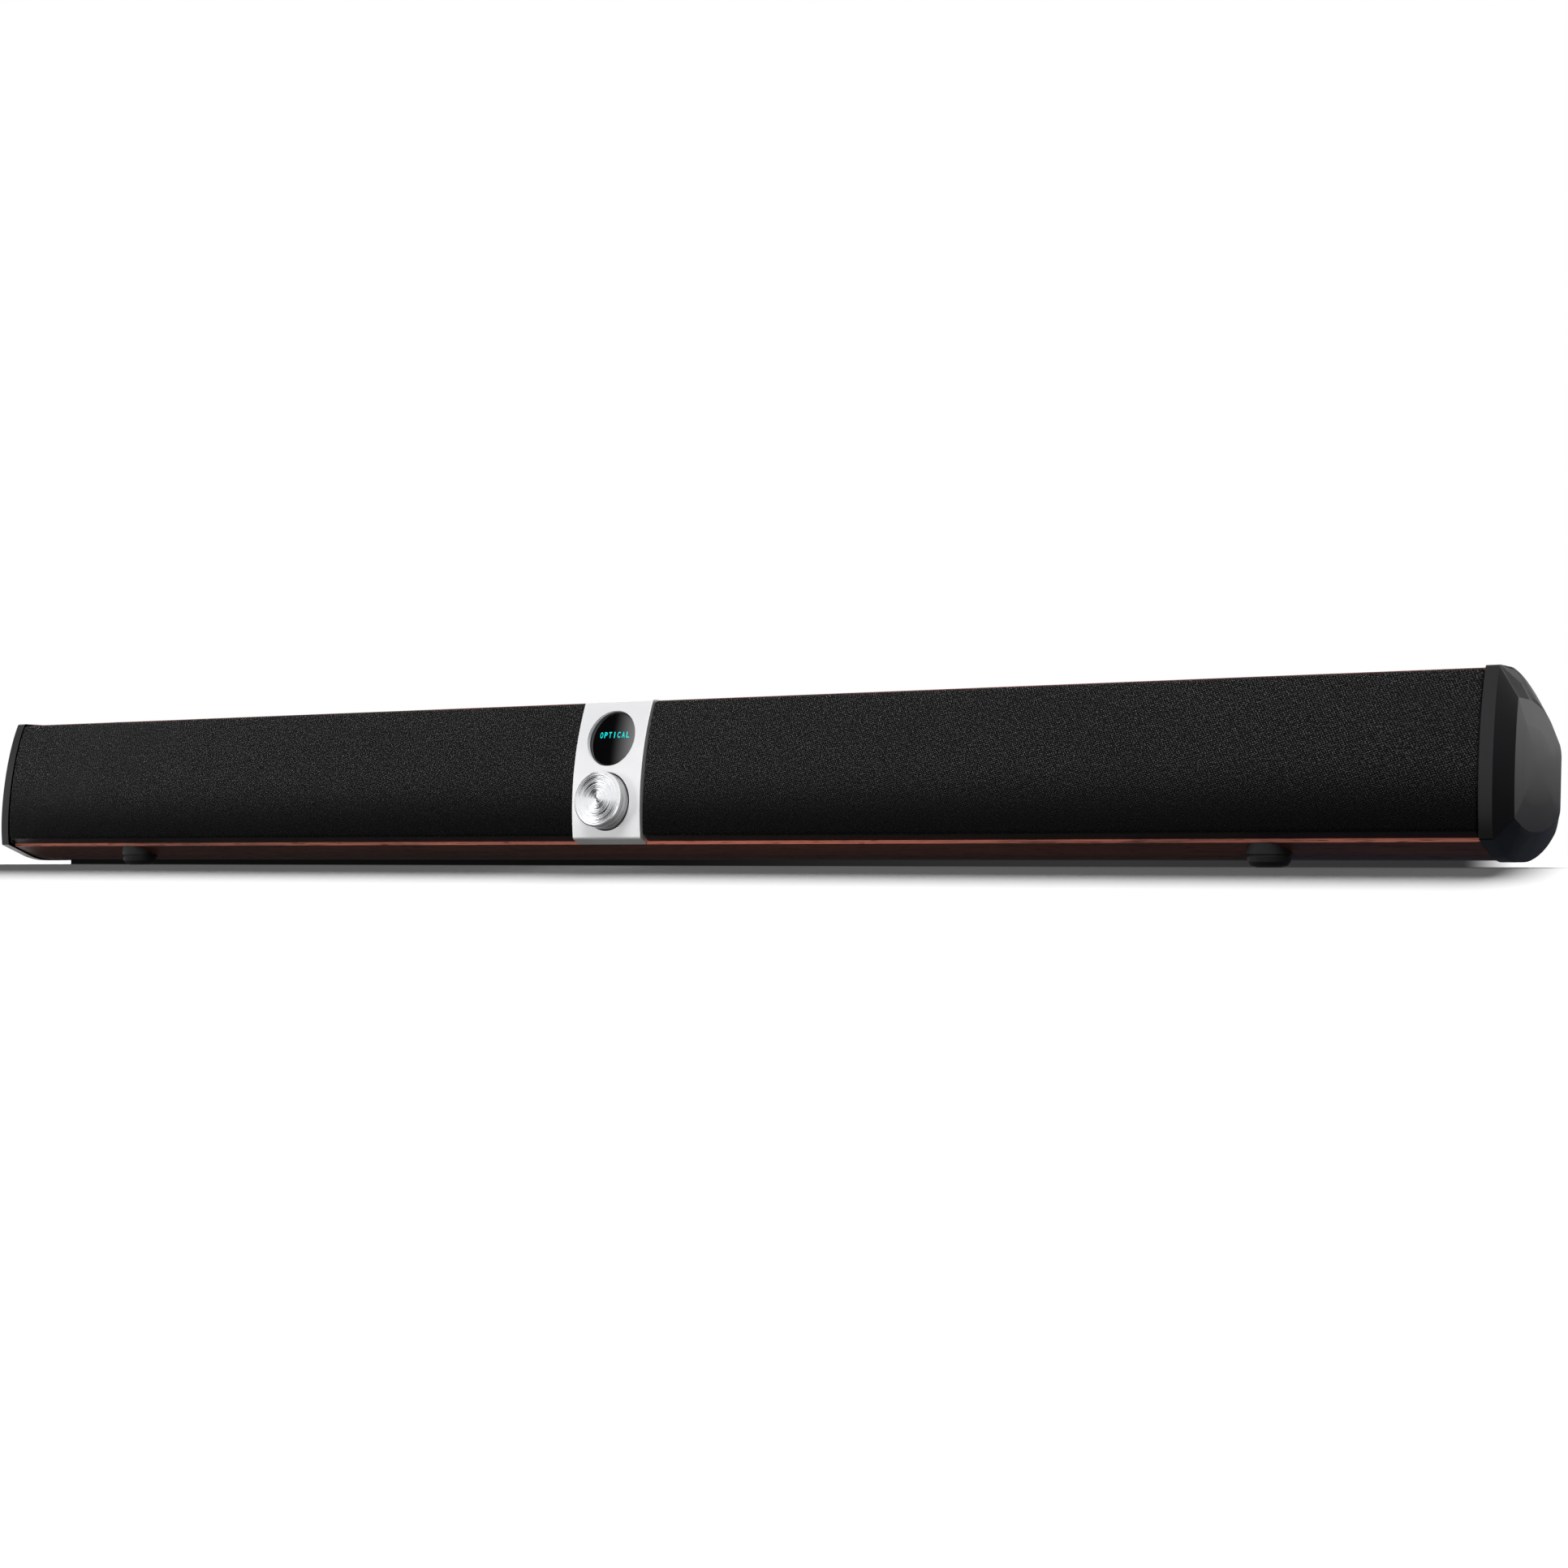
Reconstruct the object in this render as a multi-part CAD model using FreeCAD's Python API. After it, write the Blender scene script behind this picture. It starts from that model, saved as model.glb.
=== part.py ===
import FreeCAD, Part
import math
import os

# A table-top soundbar: a wood-wrapped case closed by a baffle, two bowed cloth grilles, a raised metal
# control panel with a round display and a turning, pressing knob, and two faceted end caps.
# Millimetres. +Z is up, the front faces -Y, and the case runs along X.

os.makedirs("parts", exist_ok=True)
Vector = FreeCAD.Vector

# ---- driving dimensions: the case --------------------------------------------------------------------
body_length = 928.0        # between the faces of the two end gaskets
body_height = 86.2         # lowest line of the case to its top
body_depth = 106.5         # front edge to flat back
ground_gap = 2.4           # floor to the lowest line of the case
nose_height = 12.3         # floor to the lower front edge
underside_slope = 21.7     # degrees, from the lower front edge down and back
rear_rise = 17.5           # lowest line to the lower end of the flat back
rear_rise_slope = 26.0     # degrees
rear_drop = 33.0           # top to the upper end of the flat back
shoulder_run = 37.5        # flat back to the shoulder of the top
shoulder_slope = 35.5      # degrees
crown_slope = 10.0         # degrees, from the flat top to the shoulder
lean = 9.0                 # degrees that the front leans back
face_radius = 162.0        # bow of the front
wall = 7.0                 # wood-wrapped board of the case
cap_proud = 0.8            # end caps stand this far outside the case
fit = 0.2                  # clearance round a piece that drops into another

# ---- the front ---------------------------------------------------------------------------------------
cover_depth = 5.3          # seam between case and front covers, behind the front plane
cover_lift = 2.9           # lower edge of the front plane above the lower front edge
cover_under = 0.43         # slope of the covers' underside
cover_top = 0.16           # slope of the covers' top
cover_gap = 0.35           # between a grille and the control panel
cloth = 0.7
grille_rim = 3.2
grille_rib = 5.0
grille_windows = 5
grille_in_radius = 1.6
grille_out_radius = 2.2
peg_radius = 2.5
peg_length = 5.0
peg_rise = 24.0            # pegs above and below the middle of the face
baffle_thickness = 8.0

# ---- the end caps ------------------------------------------------------------------------------------
gasket = 0.8
gasket_inset = 2.0
cap_band = 6.0             # straight rim of a cap
cap_bevel = 8.0            # facets, from the rim out to the flat end face
cap_wall = 3.0
cap_end_inset = 1.0        # the hollow of a cap, inside the outline of its end face
end_panel_thickness = 6.0

# ---- the control panel -------------------------------------------------------------------------------
panel_width = 44.3
panel_proud = 1.0
panel_wall = 2.2
panel_radius = 1.8
panel_edge = 0.5           # rounding of the panel's long edges
control_window_rim = 5.0   # baffle left round the window behind the panel
collar_wall = 1.6
display_drop = 20.3        # centre below the upper edge of the face
display_radius = 15.35     # bore in the panel
display_recess = 2.0
bezel_width = 0.85
lens_thickness = 1.5
lens_crown = 0.45          # the lens is domed
bezel_lip = 2.0
board_thickness = 1.6
knob_rise = 18.5           # centre above the lower edge of the face
knob_radius = 14.9
knob_reach = 12.5          # turned face, in front of the front plane
knob_skirt = -0.6          # rear edge of the skirt
knob_wall = 1.5
knob_roof = 2.0
knob_gap = 0.55
knob_chamfer = 0.7
press_travel = 0.6
shaft_radius = 3.0
shaft_play = 0.05
bore_play = 0.05           # round a ring or nut that sits in a bore or on a bush
bush_radius = 3.6
encoder_size = 13.0
encoder_depth = 6.0
hub_start = 1.0
hub_radius = 5.5
hub_boss = 7.5
shaft_tip = 7.0
bush_tip = -0.4
ring_front = -1.9          # floor ring of the knob's bore
ring_back = -3.5
nut_radius = 5.2
nut_height = 1.4

# ---- the drivers -------------------------------------------------------------------------------------
woofer_windows = (2, 4)            # the grille windows that drivers stand behind, counted outwards
cone_radius = 20.0
roll_width = 4.5
basket_flange = 4.0
basket_depth = 20.0
coil_radius = 8.0
cone_travel = 2.0
magnet_radius = 17.0
magnet_depth = 12.0
coil_gap = 0.6
driver_fit = 0.3           # clearance of a driver in its hole in the baffle
tweeter_window = 5
tweeter_radius = 19.0
dome_radius = 9.5
tweeter_body = 3.8         # body round the dome
tweeter_back = 14.0        # behind the seam of the covers
port_window = 3
port_radius = 12.0
port_length = 56.0
port_wall = 2.0
port_height = 39.5

# ---- the back ----------------------------------------------------------------------------------------
housing_width = 231.4
housing_front = 62.0
housing_proud = 1.0
housing_top = 46.0
housing_floor = 1.5        # floor of the room to the bottom of the housing
housing_wall = 2.5
housing_radius = 4.0
housing_chamfer = 1.2
bay_width = 164.0          # recess that holds the sockets
bay_low = 8.5
bay_high = 37.5
bay_depth = 10.5
bay_wall = 2.0
ear_depth = 7.0            # blocks that take the screws of the socket plate
ear_width = 9.0
ear_half_height = 3.5
plate_screw_inset = 5.0
plate_thickness = 1.2
divider_place = 119.0
divider_thickness = 6.0
board_level = 12.0
post_radius = 2.5
slot_margin = 4.0          # room round the leads where they pass a wall
wall_insert_spacing = 760.0
wall_insert_radius = 2.5
wall_insert_depth = 20.0
foot_spacing = 727.6
foot_setback = 14.6
foot_radius = 10.3
foot_sole_radius = 5.8
screw_radius = 1.5
screw_length = 8.0
screw_head_radius = 3.0
screw_head = 1.8
foot_screw_seat = 3.4      # sole to the head of the foot's screw
pad_size = (44.0, 12.0)
pad_inset = 6.0
lead_radius = 1.1
lead_levels = (23.0, 20.0, 17.0)
lead_line = 70.0           # leads run along X this far behind the front
lead_bend = 3.5
ribbon_width = 12.0
ribbon_thickness = 0.5
ribbon_bend = 6.0
past = 20.0                # how far a cutter runs past what it cuts

woofer_radius = cone_radius + roll_width + basket_flange
half = body_length / 2
top = ground_gap + body_height
tilt = math.radians(lean)
grille_in = panel_width / 2 + cover_gap
frame_in = grille_in + cloth + 0.1
frame_out = half - cloth - 0.1
pitch = (frame_out - frame_in - grille_rim * 2 + grille_rib) / grille_windows


def window_start(number):
    return frame_in + grille_rim + (number - 1) * pitch


def window_middle(number):
    return window_start(number) + (pitch - grille_rib) / 2


woofer_places = [window_middle(number) for number in woofer_windows]
tweeter_place = window_middle(tweeter_window)
port_place = window_middle(port_window)


# ---- helpers -----------------------------------------------------------------------------------------
def slope(degrees):
    return math.tan(math.radians(degrees))


def arc_corner(start, end):
    """Where the tangents of the front's bow meet, on the left of the run from start to end."""
    run = (end[0] - start[0], end[1] - start[1])
    length = math.hypot(*run)
    rise = length / 2 * math.tan(math.asin(length / 2 / face_radius))
    middle = ((start[0] + end[0]) / 2, (start[1] + end[1]) / 2)
    return (middle[0] - run[1] / length * rise, middle[1] + run[0] / length * rise, face_radius * 0.9)


def rounded(corners, x=0.0):
    """Closed wire at x through (y, z, radius) corners, straight between tangent arcs."""
    points = [Vector(x, y, z) for y, z, radius in corners]
    arcs = []
    for i, corner in enumerate(corners):
        before = (points[i - 1] - points[i]).normalize()
        after = (points[(i + 1) % len(points)] - points[i]).normalize()
        half_angle = before.getAngle(after) / 2
        reach = corner[2] / math.tan(half_angle)
        inward = (before + after).normalize()
        middle = points[i] + inward * (corner[2] / math.sin(half_angle) - corner[2])
        arcs.append((points[i] + before * reach, middle, points[i] + after * reach))
    edges = []
    for i, (start, middle, end) in enumerate(arcs):
        edges.append(Part.Arc(start, middle, end).toShape())
        edges.append(Part.LineSegment(end, arcs[(i + 1) % len(arcs)][0]).toShape())
    return Part.Wire(edges)


def prism(wire, x0, x1):
    solid = Part.Face(wire).extrude(Vector(x1 - x0, 0, 0))
    solid.translate(Vector(x0, 0, 0))
    return solid


def box(x0, x1, y0, y1, z0, z1):
    return Part.makeBox(x1 - x0, y1 - y0, z1 - z0, Vector(x0, y0, z0))


def disc(radius, z0, z1, x=0.0, y=0.0):
    return Part.makeCylinder(radius, z1 - z0, Vector(x, y, z0))


def tube(outer, inner, z0, z1):
    return disc(outer, z0, z1).cut(disc(inner, z0 - 1, z1 + 1))


def turned(profile):
    """Solid of revolution about Z from (radius, z) points."""
    points = [Vector(r, 0, z) for r, z in profile]
    points.append(points[0])
    return Part.Face(Part.makePolygon(points)).revolve(Vector(0, 0, 0), Vector(0, 0, 1), 360)


def along_y(radius, y0, y1, x, z):
    return Part.makeCylinder(radius, y1 - y0, Vector(x, y0, z), Vector(0, 1, 0))


def mirrored(shape):
    return shape.mirror(Vector(0, 0, 0), Vector(1, 0, 0))


def on_face(shape, x=0.0, up=0.0, out=0.0, tip=0.0):
    """Stand a shape on the leaning front: its X stays, its Y runs up the face, its Z points outwards."""
    frame = FreeCAD.Placement(face_low, FreeCAD.Rotation(Vector(1, 0, 0), 90 - lean))
    local = FreeCAD.Placement(Vector(x, up, out), FreeCAD.Rotation(Vector(1, 0, 0), -tip))
    return shape.transformed(frame.multiply(local).toMatrix(), copy=True)


def face_point(x, up, out):
    y = face_low.y + up * math.sin(tilt) - out * math.cos(tilt)
    return Vector(x, y, face_low.z + up * math.cos(tilt) + out * math.sin(tilt))


def lead(points, radius, bend):
    """Round wire along straight runs joined by tangent arcs."""
    edges = []
    start = points[0]
    for i in range(1, len(points) - 1):
        before = (points[i - 1] - points[i]).normalize()
        after = (points[i + 1] - points[i]).normalize()
        half_angle = before.getAngle(after) / 2
        first = points[i] + before * (bend / math.tan(half_angle))
        last = points[i] + after * (bend / math.tan(half_angle))
        middle = points[i] + (before + after).normalize() * (bend / math.sin(half_angle) - bend)
        edges.append(Part.LineSegment(start, first).toShape())
        edges.append(Part.Arc(first, middle, last).toShape())
        start = last
    edges.append(Part.LineSegment(start, points[-1]).toShape())
    section = Part.Wire(Part.makeCircle(radius, points[0], points[1] - points[0]))
    return Part.Wire(edges).makePipeShell([section], True, False)


parts = {}

# ---- sections of the case ----------------------------------------------------------------------------
nose = (0.2, nose_height)
front_top = (nose[0] + (top - nose_height) * math.tan(tilt), top)
back_high = (body_depth, top - rear_drop)
shoulder = (body_depth - shoulder_run, back_high[1] + shoulder_run * slope(shoulder_slope))
crown = (shoulder[0] - (top - shoulder[1]) / slope(crown_slope), top)
back_low = (body_depth, ground_gap + rear_rise)
keel_rear = (body_depth - rear_rise / slope(rear_rise_slope), ground_gap)
keel_front = (nose[0] + (nose_height - ground_gap) / slope(underside_slope), ground_gap)

cap_corners = [(*nose, 0.8), arc_corner(nose, front_top), (*front_top, 1.5), (*crown, 30.0),
               (*shoulder, 130.0), (*back_high, 18.0), (*back_low, 18.0), (*keel_rear, 100.0),
               (*keel_front, 40.0)]
end_nose = (nose[0] + 8.2, nose[1] + 9.2)
end_top = (front_top[0] + 3.7, top - 14.4)
end_corners = [(*end_nose, 0.6), arc_corner(end_nose, end_top), (*end_top, 0.6),
               (crown[0] + 3.0, top - 14.6, 40.0), (shoulder[0] - 9.0, shoulder[1] - 12.8, 50.0),
               (back_high[0] - 22.5, back_high[1] - 1.5, 7.0), (back_low[0] - 26.0, back_low[1] + 3.3, 6.0),
               (keel_rear[0] - 14.6, ground_gap + 13.5, 70.0), (keel_front[0] + 2.0, ground_gap + 13.2, 60.0)]

cap_outline = rounded(cap_corners)
case_outline = cap_outline.makeOffset2D(-cap_proud)
# inside, the underside and the top run on forwards, so the case is open at its front
mouth = 20.0
room_corners = [(nose[0] - mouth, nose[1] + mouth * slope(underside_slope), 0.8),
                (front_top[0] - mouth, top, 1.5)] + cap_corners[3:]
room_outline = rounded(room_corners).makeOffset2D(-cap_proud - wall)
fitted_outline = rounded(room_corners).makeOffset2D(-cap_proud - wall - fit)

# the leaning plane of the front: its lower edge, and its height along the lean
face_low = Vector(0, nose[0] - 0.2, nose_height + cover_lift)
face_height = (top - cap_proud - 0.6 - face_low.z) / math.cos(tilt)
face_middle = face_height / 2


def front_slab(out0, out1, reach=60.0):
    """Slab parallel to the front plane, over the whole length."""
    return on_face(box(-half - reach, half + reach, -reach, face_height + reach, out0, out1))


def face_outline(grow, back, radius):
    """Section of a front cover in the front's own frame, open towards the case."""
    low, high = (-grow, grow), (face_height + grow, grow)
    return rounded([(low[0] + cover_under * back, back, 0.4), (*low, radius), arc_corner(low, high),
                    (*high, radius), (high[0] - cover_top * back, back, 0.4)])


def bow(up):
    """How far the cloth stands in front of the front plane at a height along it."""
    radius = face_radius * 0.9
    rise = arc_corner((0, 0), (face_height, 0))[1]
    angle = math.atan(rise / face_middle)
    return rise - radius / math.cos(angle) + math.sqrt(radius ** 2 - (up - face_middle) ** 2)


# ---- case shell: wrapped board round the top, back and underside, open at the front ------------------
shell = prism(case_outline, -half, half).cut(prism(room_outline, -half - 1, half + 1))
shell = shell.cut(front_slab(-cover_depth, 60.0))
housing_back = body_depth + housing_proud
shell = shell.cut(box(-housing_width / 2 - fit, housing_width / 2 + fit, housing_front - fit,
                      housing_back + past, -1, housing_top + fit))
for side in (-1, 1):
    port_hole = along_y(port_radius + port_wall + fit, body_depth - port_length, body_depth + past,
                        side * port_place, port_height)
    insert_hole = along_y(wall_insert_radius, body_depth - wall_insert_depth, body_depth + past,
                          side * wall_insert_spacing / 2, port_height)
    screw_hole = disc(screw_radius, 0, foot_screw_seat + screw_length + 2, side * foot_spacing / 2,
                      foot_setback)
    shell = shell.cut(Part.makeCompound([port_hole, insert_hole, screw_hole]))
parts["cabinet_shell"] = shell

room = prism(fitted_outline, -half, half).cut(front_slab(-cover_depth, 60.0))
behind_baffle = prism(fitted_outline, -half, half).cut(front_slab(-cover_depth - baffle_thickness, 60.0))


def slice_of(solid, x0, x1):
    return solid.common(box(x0, x1, -200, 400, -200, 400))


# ---- end panels, gaskets and dividers ----------------------------------------------------------------
end_panel = slice_of(behind_baffle, half - end_panel_thickness, half)
parts["end_panel_right"] = end_panel
parts["end_panel_left"] = mirrored(end_panel)
gasket_ring = prism(cap_outline.makeOffset2D(-gasket_inset), half, half + gasket)
gasket_ring = gasket_ring.cut(prism(cap_outline.makeOffset2D(-gasket_inset - wall), half - 1,
                                    half + gasket + 1))
parts["end_gaskets"] = Part.makeCompound([gasket_ring, mirrored(gasket_ring)])
lead_slot = box(-divider_place - past, divider_place + past, lead_line - slot_margin, lead_line + slot_margin,
                min(lead_levels) - slot_margin, max(lead_levels) + slot_margin)
divider = slice_of(behind_baffle, divider_place, divider_place + divider_thickness).cut(lead_slot)
parts["chamber_dividers"] = Part.makeCompound([divider, mirrored(divider)])

# ---- end caps: a straight rim, then facets down to a flat end face -----------------------------------
cap_start = half + gasket
cap_rim = cap_start + cap_band
cap_end = cap_rim + cap_bevel
cap = prism(cap_outline, cap_start, cap_rim)
cap = cap.fuse(Part.makeLoft([rounded(cap_corners, cap_rim), rounded(end_corners, cap_end)], True, True))
cap = cap.cut(prism(cap_outline.makeOffset2D(-cap_wall), cap_start - 1, cap_rim - 1))
cap = cap.cut(prism(rounded(end_corners).makeOffset2D(-cap_end_inset), cap_start - 1, cap_end - cap_wall))
parts["end_cap_right"] = cap
parts["end_cap_left"] = mirrored(cap)

# ---- baffle: the board that carries the drivers, with a window behind the control panel --------------
display_up = face_height - display_drop
control_window = box(-panel_width / 2 + control_window_rim, panel_width / 2 - control_window_rim,
                     control_window_rim, face_height - control_window_rim, -past, 0)
baffle = slice_of(room.common(front_slab(-cover_depth - baffle_thickness, 0)), -half + fit, half - fit)
baffle = baffle.cut(on_face(control_window))
for x in [side * place for side in (-1, 1) for place in woofer_places]:
    baffle = baffle.cut(on_face(disc(cone_radius + roll_width + driver_fit, -past, past, 0, face_middle), x))
for side in (-1, 1):
    tweeter_hole = disc(dome_radius + tweeter_body + driver_fit, -past, past, 0, face_middle)
    baffle = baffle.cut(on_face(tweeter_hole, side * tweeter_place))

# ---- grilles: a ribbed frame with pegs into the baffle, and the cloth stretched over it --------------
skin_inner = face_outline(-cloth, -cover_depth - 1, grille_in_radius)
skin = prism(face_outline(0, -cover_depth, grille_out_radius), grille_in, half)
skin = skin.cut(prism(skin_inner, grille_in + cloth, half - cloth))
parts["grille_cloth_right"] = on_face(skin)
parts["grille_cloth_left"] = mirrored(parts["grille_cloth_right"])
frame = prism(face_outline(-cloth - 0.1, -cover_depth, 1.5), frame_in, frame_out)
for number in range(1, grille_windows + 1):
    x = window_start(number)
    frame = frame.cut(box(x, x + pitch - grille_rib, grille_rim, face_height - grille_rim, -past, past))
peg_places = []
for number in range(2, grille_windows + 1):
    x = window_start(number) - grille_rib / 2
    for up in (face_middle - peg_rise, face_middle + peg_rise):
        peg_places.append((x, up))
for x, up in peg_places:
    frame = frame.fuse(disc(peg_radius - fit / 2, -cover_depth - peg_length, -cover_depth + 0.5, x, up))
    for side in (-1, 1):
        baffle = baffle.cut(on_face(disc(peg_radius, -cover_depth - peg_length - 0.5, past, side * x, up)))
parts["grille_frame_right"] = on_face(frame)
parts["grille_frame_left"] = mirrored(parts["grille_frame_right"])
parts["front_baffle"] = baffle

# ---- control panel: die-cast shell with a collar round each of its two bores -------------------------
panel_solid = prism(face_outline(panel_proud, -cover_depth, panel_radius), -panel_width / 2, panel_width / 2)
long_edges = [edge for edge in panel_solid.Edges
              if edge.BoundBox.XLength < 0.01 and edge.BoundBox.ZMax > -cover_depth + 1]
panel_solid = panel_solid.makeFillet(panel_edge, long_edges)
panel_room = prism(face_outline(panel_proud - panel_wall, -cover_depth - 1, panel_radius - panel_edge),
                   -panel_width / 2 + panel_wall, panel_width / 2 - panel_wall)
knob_bore = knob_radius + knob_gap
display_tip = math.degrees(math.asin((display_up - face_middle) / (face_radius * 0.9)))
display_out = bow(display_up) + panel_proud


def on_display(shape):
    """Place a shape round the display's axis, with Z zero at the panel's surface there."""
    turn = FreeCAD.Rotation(Vector(1, 0, 0), -display_tip)
    local = FreeCAD.Placement(Vector(0, display_up, display_out), turn)
    return shape.transformed(local.toMatrix(), copy=True)


collars = [disc(knob_bore + collar_wall, -3.6, 20, 0, knob_rise),
           on_display(disc(display_radius + collar_wall, -display_recess - 3.2, 20))]
bores = [disc(knob_bore, -10, 30, 0, knob_rise), on_display(disc(display_radius, -12, 20))]
panel = panel_solid.cut(panel_room)
for collar in collars:
    panel = panel.fuse(collar.common(panel_solid))
for bore in bores:
    panel = panel.cut(bore)
parts["control_panel"] = on_face(panel.removeSplitter())

# ---- display: a ring that holds the lens, and the module behind it -----------------------------------
lens_radius = display_radius - bezel_width
ring_outer = display_radius - bore_play
bezel = turned([(lens_radius, -display_recess), (ring_outer, -display_recess),
                (ring_outer, -display_recess - 3.0), (lens_radius - bezel_lip, -display_recess - 3.0),
                (lens_radius - bezel_lip, -display_recess - lens_thickness),
                (lens_radius, -display_recess - lens_thickness)])
parts["display_bezel"] = on_face(on_display(bezel))
lens = disc(lens_radius - bore_play, -display_recess - lens_thickness, -display_recess + 2 * lens_crown)
crown_radius = (lens_radius ** 2 + lens_crown ** 2) / (2 * lens_crown)
lens = lens.common(Part.makeSphere(crown_radius, Vector(0, 0, -display_recess + lens_crown - crown_radius)))
parts["display_lens"] = on_face(on_display(lens))
board_front = -cover_depth - baffle_thickness
module = box(-10, 10, display_up - 10, display_up + 10, board_front, -2.6)
module = module.cut(box(-8.5, 8.5, display_up - 8.5, display_up + 8.5, -3.4, 0))
parts["display_module"] = on_face(module)
board = box(-panel_width / 2 - 3, panel_width / 2 + 3, 8, face_height - 9, board_front - board_thickness,
            board_front)
parts["control_board"] = on_face(board)

# ---- knob: a turned cap on a moulded hub, round an encoder that also presses -------------------------
cap_room = knob_reach - knob_roof
cap_bore = knob_radius - knob_wall
cap_turned = turned([(0, cap_room), (cap_bore, cap_room), (cap_bore, knob_skirt), (knob_radius, knob_skirt),
                     (knob_radius, knob_reach - knob_chamfer), (knob_radius - knob_chamfer, knob_reach),
                     (0.6, knob_reach), (0, knob_reach - 0.5)])
parts["knob_cap"] = on_face(cap_turned, 0, knob_rise)
hub = turned([(shaft_radius, hub_start), (hub_radius, hub_start), (hub_radius, hub_boss),
              (cap_bore - bore_play, hub_boss), (cap_bore - bore_play, cap_room),
              (0, cap_room), (0, shaft_tip), (shaft_radius, shaft_tip)])
parts["knob_hub"] = on_face(hub, 0, knob_rise)
plunger_level = board_front + 2.2
parts["encoder_shaft"] = on_face(disc(shaft_radius, plunger_level, shaft_tip), 0, knob_rise)
parts["encoder_plunger"] = on_face(disc(shaft_radius - 0.3, plunger_level - 1.2, plunger_level), 0, knob_rise)
encoder_front = board_front + encoder_depth
encoder = box(-encoder_size / 2, encoder_size / 2, -encoder_size / 2, encoder_size / 2, board_front,
              encoder_front)
encoder = encoder.fuse(disc(bush_radius, board_front, bush_tip))
encoder = encoder.cut(disc(shaft_radius + shaft_play, board_front + 0.3, past))
parts["encoder_body"] = on_face(encoder, 0, knob_rise)
parts["knob_ring"] = on_face(tube(knob_bore - bore_play, bush_radius + bore_play, ring_back, ring_front), 0,
                             knob_rise)
nut = prism(rounded([(nut_radius * math.cos(math.radians(a)), nut_radius * math.sin(math.radians(a)), 0.3)
                     for a in range(0, 360, 60)]), 0, nut_height)
nut = nut.transformed(FreeCAD.Placement(Vector(0, 0, ring_front), FreeCAD.Rotation(Vector(0, 1, 0), -90))
                      .toMatrix(), copy=True)
nut = nut.cut(disc(bush_radius + bore_play, -past, past))
parts["encoder_nut"] = on_face(nut, 0, knob_rise)

# ---- woofers: basket on the baffle, cone with its coil, rolled surround, magnet ----------------------
seat = -cover_depth
basket_back = seat - basket_depth
coil_in, coil_out = coil_radius - 0.25, coil_radius + 0.25
hole = cone_radius + roll_width
basket = turned([(hole - 0.2, seat), (woofer_radius, seat), (woofer_radius, seat + 1.6),
                 (hole - 0.8, seat + 1.6), (hole - 0.8, seat + 1.0), (hole - 1.5, seat + 1.0),
                 (hole - 2.6, seat - 1.5), (magnet_radius - 2, basket_back + 2),
                 (coil_out + 1.2, basket_back + 2), (coil_out + 1.2, basket_back),
                 (magnet_radius, basket_back)])
for turn in range(4):
    window = box(6, 40, -6.5, 6.5, basket_back + 2.5, seat - 3.0)
    basket = basket.cut(window.rotate(Vector(0, 0, 0), Vector(0, 0, 1), 45 + 90 * turn))
motor = disc(magnet_radius, basket_back - magnet_depth, basket_back)
motor = motor.cut(tube(coil_out + coil_gap, coil_in - coil_gap, basket_back - magnet_depth + 2.5,
                       basket_back + 1))
rim = seat + 1.0
apex = seat - 8.0
cone = turned([(coil_in, basket_back - 4), (coil_out, basket_back - 4), (coil_out, apex - 0.6),
               (cone_radius, rim - 0.8), (cone_radius, rim), (coil_in + 3.5, apex + 1.6), (5.5, apex + 4.0),
               (0, apex + 4.8), (0, apex + 4.0), (5.0, apex + 3.3), (coil_in, apex + 0.2)])
roll_middle = cone_radius + roll_width / 2
outer_arc = Part.Arc(Vector(cone_radius + 0.05, 0, rim), Vector(roll_middle, 0, rim + 2.4),
                     Vector(hole - 1.0, 0, rim)).toShape()
inner_arc = Part.Arc(Vector(hole - 1.5, 0, rim), Vector(roll_middle, 0, rim + 1.8),
                     Vector(cone_radius + 0.55, 0, rim)).toShape()
feet = [Part.LineSegment(Vector(hole - 1.0, 0, rim), Vector(hole - 1.5, 0, rim)).toShape(),
        Part.LineSegment(Vector(cone_radius + 0.55, 0, rim), Vector(cone_radius + 0.05, 0, rim)).toShape()]
surround = Part.Face(Part.Wire([outer_arc, feet[0], inner_arc, feet[1]]))
surround = surround.revolve(Vector(0, 0, 0), Vector(0, 0, 1), 360)
woofer_order = [-woofer_places[1], -woofer_places[0], woofer_places[0], woofer_places[1]]
for number, x in enumerate(woofer_order, 1):
    parts["woofer_frame_%d" % number] = on_face(basket, x, face_middle)
    parts["woofer_magnet_%d" % number] = on_face(motor, x, face_middle)
    parts["woofer_cone_%d" % number] = on_face(cone, x, face_middle)
    parts["woofer_surround_%d" % number] = on_face(surround, x, face_middle)

# ---- tweeters: faceplate with its motor, and the dome ------------------------------------------------
plate_edge = dome_radius + 0.4
tweeter = turned([(plate_edge, seat), (tweeter_radius, seat), (tweeter_radius, seat + 2.0),
                  (plate_edge + 2.5, seat + 2.0), (plate_edge, seat + 0.8)])
tweeter_floor = -6.0
tweeter = tweeter.fuse(tube(dome_radius + tweeter_body, plate_edge, seat + tweeter_floor, seat + 0.5))
tweeter = tweeter.fuse(disc(dome_radius + tweeter_body, seat - tweeter_back, seat + tweeter_floor))
dome_sphere = dome_radius * 1.15
dome_centre = Vector(0, 0, seat - dome_radius * 0.75)
silk = 0.5
dome = Part.makeSphere(dome_sphere, dome_centre).cut(Part.makeSphere(dome_sphere - silk, dome_centre))
dome = dome.common(disc(dome_radius, seat - 1.0, seat + past))
dome = dome.fuse(tube(dome_radius, dome_radius - silk, seat + tweeter_floor, seat - 0.9))
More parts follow.
